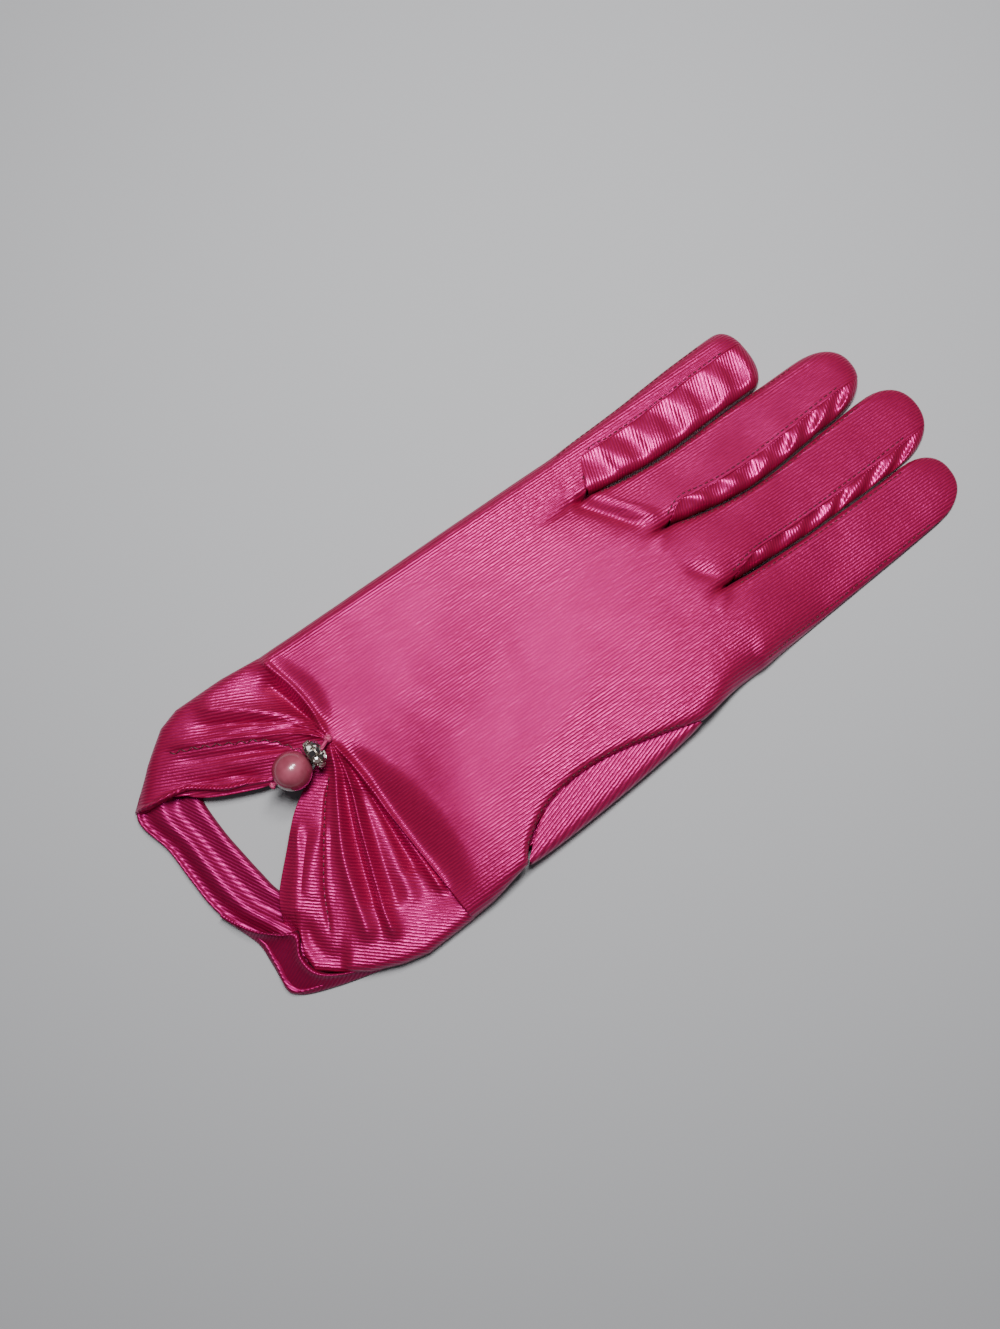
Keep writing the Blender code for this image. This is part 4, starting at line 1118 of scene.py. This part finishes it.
def make_palm():
    hand = []
    for row in range(PALM_ROWS + 1):
        share = row / PALM_ROWS
        line = []
        for station in STATIONS:
            point = hand_point(share, station, palm_start(station), False)
            right = point.y - right_side(point.x) - PALM_INSET * notch_mask(point.x)
            side = min(left_side(point.x) - point.y, right)
            apart = min(station % 1.0, 1 - station % 1.0) * FINGER_PITCH
            line.append(sole(point, mix(side, min(side, apart), smooth(0.9, 1.0, share))))
        hand.append(line)
    grids = [hand, *finger_grids(hand, sole_of_finger)]
    leg = sum(1 for station in STATIONS if station <= LEG_END)
    left, right = hand[0][:leg], hand[0][len(STATIONS) - leg :]
    for wrist, section, turned in ((left, STRAP_SECTIONS[0], True), (right, STRAP_SECTIONS[-1], False)):
        grid = [wrist]
        for row in range(1, LEG_ROWS + 1):
            line = []
            for column, start in enumerate(wrist):
                across = column / (leg - 1)
                end = strap_section(section, 1 - across if turned else across)
                line.append(raised(plan(start.x, start.y).lerp(end, row / LEG_ROWS), start.z))
            grid.append(line)
        grids.append(grid)
    return add_cloth("palm_cloth", grids, PALM_SATIN, [0.0] * len(grids), upward=False)


def make_fourchette(finger):
    """A strip between two fingers, gathered into a row of pillows by its seams."""
    rows, columns = FOURCHETTE_GRID
    grid = []
    for row in range(rows + 1):
        share = mix(STRIP_START * COVER_FADES[finger][1], 1.0, row / rows)
        start = covered_share(finger, share)
        uneven = noise.noise(Vector((share * 9, finger * 3.1, 0.0)))
        turn = 2 * math.pi * (share * FINGER_LENGTHS[finger] / PUCKER_PITCH + PUCKER_DRIFT * uneven)
        pillow = math.copysign(abs(math.sin(turn)) ** PILLOW_POWER, math.sin(turn))
        swell = PUCKER_HEIGHT * (pillow + PUCKER_UNEVEN * uneven)
        ends = smooth(*PUCKER_START, share) * (1 - smooth(*PUCKER_END, share))
        line = []
        for column in range(columns + 1):
            place = crowd(column / columns)
            across = mix(start, 1.0, place)
            point = finger_point(finger, share, across)
            pucker = swell * math.sin(math.pi * place) ** PILLOW_WIDTH
            line.append(raised(point, finger_top(finger, point, share, across) + pucker * ends))
        grid.append(line)
    name = f"fourchette_cloth_{FINGER_NAMES[finger]}_{FINGER_NAMES[finger + 1]}"
    return add_cloth(name, [grid], FOURCHETTE_SATIN, [STRIP_GRAIN])


def make_thumb():
    """The thumb: rolled over the notch's edge, then a flat tube folded under the palm."""
    last = len(THUMB_ROLL) - 1
    roll = [Curve([(k, row[c]) for k, row in enumerate(THUMB_ROLL)]) for c in range(4)]
    inward_length = THUMB_LENGTH * math.sin(THUMB_ANGLE)
    spread = [-math.cos(math.pi * column / THUMB_COLUMNS) for column in range(THUMB_COLUMNS + 1)]
    outer_grid, inner_grid = [], []
    for row in range(THUMB_ROLL_ROWS + 1):
        at = row / THUMB_ROLL_ROWS * last
        inward, outward, height, inner = (curve(at) for curve in roll)
        outer_line, inner_line = [], []
        for across in spread:
            base = thumb_plan(0.0, across * (1 + THUMB_END_REACH))
            bow = math.sqrt(max(1 - across**2, 0.0))
            reach = inward * (notch(base.x) + THUMB_OVERLAP) - outward * THUMB_BULGE
            outer = base + plan(0.0, reach * bow)
            if at > THUMB_TURN and outward < 0.0:
                outer = thumb_plan(-outward * THUMB_BULGE / inward_length, across)
            outer_line.append(raised(outer, max(height * MOUTH_LEVEL, WALL)))
            tuck = inner * THUMB_WIDTH + THUMB_END_TUCK * (1 - bow) * (1 - at / last)
            inner_line.append(raised(thumb_plan(tuck / inward_length, across), THUMB_HEIGHT))
        outer_grid.append(outer_line)
        if at >= THUMB_INNER_FROM:
            inner_grid.append(inner_line)
    first = THUMB_ROLL[-1][3] * THUMB_WIDTH / inward_length
    for row in range(1, THUMB_ROWS + 1):
        share = mix(first, 1.0, row / THUMB_ROWS)
        tip = rolled((1 - share) * THUMB_LENGTH, THUMB_TIP_ROLL)
        outer_line, inner_line = [], []
        for across in spread:
            bow = math.sqrt(max(1 - across**2, 0.0)) ** THUMB_SECTION_POWER
            flat = thumb_plan(share, across)
            outer_line.append(raised(flat, max(0.5 * THUMB_HEIGHT * (1 - bow * tip), WALL)))
            inner_line.append(raised(flat, 0.5 * THUMB_HEIGHT * (1 + bow * tip)))
        outer_grid.append(outer_line)
        inner_grid.append(inner_line)
    grids = [outer_grid, inner_grid]
    return add_cloth("thumb_cloth", grids, THUMB_SATIN, [THUMB_GRAIN] * 2, upward=False)


def make_strap():
    inner = curve_through(cuff_places(row[:2] for row in STRAP_SECTIONS), STRAP_STEPS)
    outer = curve_through(cuff_places(row[2:] for row in STRAP_SECTIONS), STRAP_STEPS)
    grid = []
    for row, (inside, outside) in enumerate(zip(inner, outer)):
        line = []
        for column in range(STRAP_COLUMNS + 1):
            across = crowd(column / STRAP_COLUMNS)
            gather = noise.noise(Vector((row * STRAP_WAVE[0], across * STRAP_WAVE[1], 2.0)))
            bow = strap_bow(across) * (1.0 + STRAP_UNEVEN * gather)
            line.append(raised(plan(*inside).lerp(plan(*outside), across), WALL + STRAP_HEIGHT * bow))
        grid.append(line)
    return add_cloth("strap_cloth", [grid], SHADED_STRAP_SATIN, [STRAP_GRAIN])


def make_lip():
    """The strap's end, which stands up as a lip round the right flap and ends in a rolled hem."""
    outer = curve_through(cuff_places(LIP_OUTER), LIP_STEPS)
    inner = curve_through(cuff_places(LIP_HEM), LIP_STEPS)
    grid = []
    for row, (low, high) in enumerate(zip(outer, inner)):
        share = row / (len(outer) - 1)
        rise = smooth(*LIP_START, share) * (1 - LIP_SINK * smooth(*LIP_END, share))
        line = []
        for across, level, bead in LIP_SECTION:
            wave = LIP_WAVE * noise.noise(Vector((share * 7, across * 2, 0.7)))
            height = mix(mix(*LIP_ENDS, across), level * LIP_HEIGHT, rise) + bead * LIP_HEIGHT
            height += wave * math.sin(math.pi * min(across, 1))
            line.append(raised(plan(*low).lerp(plan(*high), across), height))
        grid.append(line)
    return add_cloth("strap_lip_cloth", [grid], SHADED_STRAP_SATIN, [LIP_GRAIN], LIP_WALL)


def on_cloth(cloth, x, y):
    """The point of a cloth's top above a place in the plan."""
    hit, place, normal, index = cloth.ray_cast(Vector((x, y, 0.05)), Vector((0, 0, -1)))
    return place if hit else None


def make_hem(name, cloth, points, width, height):
    """A narrow rolled hem that follows the cloth below it."""
    places = curve_through(points)
    grid = []
    for k, place in enumerate(places):
        run = Vector(places[min(k + 1, len(places) - 1)] - places[max(k - 1, 0)]).normalized()
        share = k / (len(places) - 1)
        ends = smooth(*HEM_START, share) * (1 - smooth(*HEM_END, share))
        line = []
        for column in range(HEM_COLUMNS + 1):
            across = 2 * column / HEM_COLUMNS - 1
            flat = Vector(place) + Vector((-run.y, run.x)) * across * width / 2
            below = on_cloth(cloth, flat.x + SHIFT.x, flat.y + SHIFT.y)
            level = below.z if below else RIM
            roll = math.sqrt(max(1 - across**2, 0.0))
            line.append(Vector((flat.x, flat.y, level + (HEM_LIFT + height * roll) * ends)))
        grid.append(line)
    return add_cloth(name, [grid], BACK_SATIN, [HEM_GRAIN], HEM_WALL)


def bead_frame(place, axis):
    """Matrix that puts a turned bead at a place with its bore along an axis."""
    turn = Vector((0, 0, 1)).rotation_difference(axis).to_matrix().to_4x4()
    return Matrix.Translation(place) @ turn


def tube(bm, points, radii, sides):
    """A closed round tube through points, with a radius at each."""
    rings = []
    for k, (place, radius) in enumerate(zip(points, radii)):
        before = points[max(k - 1, 0)]
        after = points[min(k + 1, len(points) - 1)]
        turned = bead_frame(place, (after - before).normalized())
        ring = []
        for n in range(sides):
            angle = 2 * math.pi * n / sides
            spoke = Vector((math.cos(angle), math.sin(angle), 0))
            ring.append(bm.verts.new(turned @ (radius * spoke)))
        rings.append(ring)
    for low, high in zip(rings, rings[1:]):
        for n in range(sides):
            bm.faces.new((low[n], low[(n + 1) % sides], high[(n + 1) % sides], high[n]))
    bm.faces.new(rings[0][::-1])
    bm.faces.new(rings[-1])


def add_stitches(name, cloth, points, pitch, length, zigzag=0.0):
    """A row of sewing stitches that lie along a curve on the cloth."""
    places = curve_through(points, STITCH_STEPS)
    lengths = np.concatenate([[0], np.cumsum(np.linalg.norm(np.diff(places, axis=0), axis=1))])
    radius = STITCH_DIAMETER / 2
    radii = [0.6 * radius, radius, radius, radius, 0.6 * radius]
    bm = bmesh.new()
    for k in range(int(lengths[-1] / pitch)):
        start, end = (
            Vector([np.interp(at, lengths, places[:, axis]) for axis in range(2)])
            for at in (k * pitch, k * pitch + length)
        )
        run = (end - start).normalized()
        aside = Vector((-run.y, run.x)) * zigzag * (1 if k % 2 else -1)
        spots = []
        for u, lift in STITCH_PROFILE:
            flat = start.lerp(end, u) + aside * (2 * u - 1) + SHIFT.xy
            spot = on_cloth(cloth, flat.x, flat.y)
            if spot:
                spots.append(spot + Vector((0, 0, lift * MM)))
        if len(spots) == len(radii):
            tube(bm, spots, radii, STITCH_SIDES)
    return add_mesh(name, bm, STITCH)


def primitive(name, add, **sizes):
    """A new primitive, ready for its faces to be edited."""
    bpy.ops.object.select_all(action="DESELECT")
    add(**sizes)
    piece = bpy.context.active_object
    piece.name = name
    bpy.context.tool_settings.mesh_select_mode = (False, False, True)
    return piece


def edit_selected(piece, wanted):
    """Enters edit mode with only the wanted faces of a piece selected."""
    for polygon in piece.data.polygons:
        polygon.select = wanted(polygon)
    bpy.ops.object.mode_set(mode="EDIT")


def settle(piece, matrix, look, smooth_angle=40.0):
    """Puts a finished primitive in its place, with its origin at the world's."""
    piece.data.transform(matrix)
    piece.matrix_world = Matrix.Identity(4)
    piece.data.materials.clear()
    piece.data.materials.append(look)
    select_only(piece)
    bpy.ops.object.shade_smooth_by_angle(angle=math.radians(smooth_angle))
    piece.select_set(False)
    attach(piece, "root")
    return piece


def make_pearl():
    add = bpy.ops.mesh.primitive_uv_sphere_add
    piece = primitive("pearl_bead", add, segments=64, ring_count=40, radius=PEARL_DIAMETER / 2)
    edit_selected(piece, lambda f: math.hypot(f.center.x, f.center.y) < BEAD_BORE / 2)
    bpy.ops.mesh.delete(type="FACE")
    bpy.context.tool_settings.mesh_select_mode = (False, True, False)
    bpy.ops.mesh.select_non_manifold()
    bpy.ops.mesh.bridge_edge_loops()
    bpy.ops.object.mode_set(mode="OBJECT")
    return settle(piece, bead_frame(PEARL_PLACE + SHIFT, BEAD_AXIS), PEARL)


def make_rondelle():
    radius, half = RONDELLE_DIAMETER / 2, RONDELLE_THICKNESS / 2
    add = bpy.ops.mesh.primitive_cylinder_add
    piece = primitive("rondelle_setting", add, vertices=60, radius=0.92 * radius, depth=2 * half)
    edit_selected(piece, lambda f: abs(f.normal.z) > 0.5)
    bpy.ops.mesh.inset(thickness=0.14 * radius)
    bpy.ops.mesh.inset(thickness=0.78 * radius - BEAD_BORE / 2, depth=-0.12 * half)
    bpy.ops.mesh.bridge_edge_loops()
    bpy.ops.object.mode_set(mode="OBJECT")
    bevel = piece.modifiers.new("soft_edges", "BEVEL")
    bevel.width = 0.12 * MM
    bevel.segments = 3
    apply_modifiers(piece)
    return settle(piece, bead_frame(RONDELLE_PLACE + SHIFT, BEAD_AXIS), METAL)


def make_stone(name, matrix, radius):
    """A round cut crystal with a flat table above a slanted crown."""
    add = bpy.ops.mesh.primitive_cylinder_add
    stone = primitive(name, add, vertices=9, radius=radius, depth=STONE_DEPTH)
    edit_selected(stone, lambda f: f.normal.z > 0.5)
    bpy.ops.mesh.inset(thickness=0.38 * radius, depth=0.32 * radius)
    bpy.ops.object.mode_set(mode="OBJECT")
    return settle(stone, matrix, CRYSTAL, 10.0)


def make_claw(name, matrix):
    """A small bead of metal that grips the stones beside it."""
    add = bpy.ops.mesh.primitive_uv_sphere_add
    claw = primitive(name, add, segments=10, ring_count=6, radius=CLAW_RADIUS)
    edit_selected(claw, lambda f: True)
    bpy.ops.transform.resize(value=(1.3, 0.9, 1.0))
    bpy.ops.object.mode_set(mode="OBJECT")
    return settle(claw, matrix, METAL)


def about(axis, turns):
    return Matrix.Rotation(2 * math.pi * turns, 4, axis)


def make_stones():
    """Crystals set in the rondelle's rim and round its outer face, with claws between."""
    axle = bead_frame(RONDELLE_PLACE + SHIFT, BEAD_AXIS)
    half = RONDELLE_DIAMETER / 2
    made = []
    for k in range(RONDELLE_STONES):
        turned = axle @ about("Z", k / RONDELLE_STONES)
        place = turned @ Matrix.Translation((half - STONE_SINK, 0, 0)) @ about("Y", 0.25)
        made.append(make_stone(f"crystal_{k + 1:02d}", place, STONE_RADIUS))
        turned = axle @ about("Z", (k + 0.5) / RONDELLE_STONES)
        for letter, side in (("a", -1), ("b", 1)):
            place = turned @ Matrix.Translation((half + CLAW_LIFT, 0, side * CLAW_SPREAD))
            made.append(make_claw(f"claw_{k + 1:02d}_{letter}", place))
    out = Matrix.Translation((FACE_RING * half, 0, -0.5 * RONDELLE_THICKNESS - FACE_LIFT))
    for k in range(FACE_STONES):
        place = axle @ about("Z", k / FACE_STONES) @ out @ about("Y", FACE_TURN)
        made.append(make_stone(f"face_crystal_{k + 1}", place, FACE_STONE_RADIUS))
    return made


def make_bead_thread():
    """Thread from a knot on the gathers, through both beads, to a knot at the end."""
    thin, knob = THREAD_DIAMETER / 2, THREAD_KNOT / 2
    start = KNOT + Vector((0, 0, KNOT_LEVEL + 0.35 * MM + knob))
    before = RONDELLE_PLACE - BEAD_AXIS * (RONDELLE_THICKNESS / 2 + 0.8 * MM)
    after = PEARL_PLACE + BEAD_AXIS * (PEARL_DIAMETER / 2 + 0.35 * MM)
    arm = (before - start).normalized()
    stations = [(start - arm * knob, 0.3 * knob)]
    for k in range(9):
        angle = math.pi * (k + 1) / 10
        bulge = knob * (math.sin(angle) + 0.06 * (-1) ** k)
        stations.append((start - arm * knob * math.cos(angle), bulge))
    stations.append((start + arm * knob, thin))
    stations += [(place, thin) for place in (before, RONDELLE_PLACE, PEARL_PLACE, after)]
    for k in range(7):
        angle = math.pi * (k + 1) / 8
        bulge = 0.85 * knob * (math.sin(angle) + 0.06 * (-1) ** k)
        stations.append((after + BEAD_AXIS * knob * (0.6 - 0.6 * math.cos(angle)), bulge))
    bm = bmesh.new()
    tube(bm, [place + SHIFT for place, radius in stations], [radius for place, radius in stations], 16)
    return add_mesh("bead_cord", bm, THREAD)


def make_floor():
    add = bpy.ops.mesh.primitive_plane_add
    floor = primitive("floor", add, size=6.0, location=(0, 0, -0.05 * MM))
    made, tree, shader = principled("pale_floor")
    feed(tree, shader, {"Base Color": (0.37, 0.37, 0.38, 1), "Roughness": 0.8})
    floor.data.materials.append(made)


def add_light(name, place, size, power):
    """An oval light that faces straight down."""
    lamp = bpy.data.lights.new(name, "AREA")
    lamp.shape = "ELLIPSE"
    lamp.size, lamp.size_y = size
    lamp.energy = power
    made = bpy.data.objects.new(name, lamp)
    made.location = place
    bpy.context.scene.collection.objects.link(made)


def make_camera():
    camera = bpy.data.cameras.new("camera")
    camera.lens = 31.15
    camera.sensor_width = 36.0
    camera.sensor_fit = "VERTICAL"
    camera.sensor_height = 36.0
    camera.clip_start = 0.01
    made = bpy.data.objects.new("camera", camera)
    right = Vector((0.8211, -0.5707, 0.0))
    back_axis = Vector((-0.0991, -0.1426, 0.9848)).normalized()
    up = back_axis.cross(right).normalized()
    turn = Matrix((right, up, back_axis)).transposed()
    made.matrix_world = Matrix.Translation((-0.0465, -0.0381, 0.2922)) @ turn.to_4x4()
    bpy.context.scene.collection.objects.link(made)
    bpy.context.scene.camera = made


WEAVE = weave_group()
BACK_SATIN = satin("back_satin", (0.066, 0.0015, 0.008), (0.27, 0.008, 0.040))
PALM_SATIN = satin("palm_satin", (0.066, 0.0015, 0.008), (0.26, 0.008, 0.038))
FOURCHETTE_SATIN = satin("fourchette_satin", (0.062, 0.0015, 0.007), (0.26, 0.008, 0.038), 0.05 * MM, 0.36)
THUMB_SATIN = satin("thumb_satin", (0.066, 0.0015, 0.009), (0.29, 0.011, 0.052))
# The strap and its lip are the same satin as the back, with their colours painted darker as a painted
# shade.
SHADED_STRAP_SATIN = satin("strap_satin", (0.056, 0.0014, 0.006), (0.16, 0.004, 0.022), 0.06 * MM, 0.50)
PEARL = pearl_look()
METAL = metal_look()
CRYSTAL = crystal_look()
THREAD = thread_look("pink_thread", (0.22, 0.01, 0.05), (0.60, 0.06, 0.20))
STITCH = thread_look("seam_thread", (0.030, 0.001, 0.004), (0.11, 0.003, 0.016))

back = make_back()
palm = make_palm()
fourchettes = [make_fourchette(finger) for finger in range(3)]
thumb = make_thumb()
strap = make_strap()

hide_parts("back_panel")
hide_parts("palm_panel")
for finger, piece in enumerate(fourchettes):
    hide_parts(f"fourchette_{FINGER_NAMES[finger]}_{FINGER_NAMES[finger + 1]}")
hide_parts("thumb")
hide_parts("wrist_strap")

pearl = make_pearl()
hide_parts("pearl")
setting = make_rondelle()
stones = make_stones()
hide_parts("crystal_rondelle")
cord = make_bead_thread()
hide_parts("bead_thread")

lip = make_lip()
left_hem = make_hem("flap_hem_cloth", back, cuff_places(LEFT_HEM), *LEFT_HEM_SIZE)
notch_line = []
for k in range(LINE_POINTS + 1):
    base = thumb_plan(0.0, mix(*NOTCH_LINE_SPAN, k / LINE_POINTS))
    notch_line.append((base.x, right_side(base.x) + notch(base.x) + NOTCH_LINE_INSET))
stitch_rows = [
    add_stitches("left_hem_stitches", back, cuff_places(LEFT_HEM_LINE), *HEM_STITCH),
    add_stitches("right_seam_stitches", back, cuff_places(RIGHT_SEAM_LINE), *FLAP_STITCH),
    add_stitches("notch_stitches", back, notch_line, *SEAM_STITCH),
]
for finger in range(4):
    for side, across in (("first", SEAM_INSETS[finger]), ("second", 1 - SEAM_INSETS[1])):
        line = []
        for k in range(LINE_POINTS + 1):
            share = mix(*SEAM_LINE_SPAN, k / LINE_POINTS)
            line.append(finger_point(finger, share, across * covered_share(finger, share)).xy)
        name = f"{FINGER_NAMES[finger]}_{side}_seam"
        stitch_rows.append(add_stitches(name, back, line, *SEAM_STITCH))

make_floor()
make_camera()
add_light("key", (0.020, 0.078, 0.45), (0.17, 0.12), 2.65)
add_light("side", (0.163, 0.126, 0.45), (0.15, 0.08), 1.35)
world = bpy.data.worlds.new("soft_room")
world.use_nodes = True
world.node_tree.nodes["Background"].inputs["Color"].default_value = (0.9, 0.92, 1.0, 1)
world.node_tree.nodes["Background"].inputs["Strength"].default_value = 0.12
bpy.context.scene.world = world
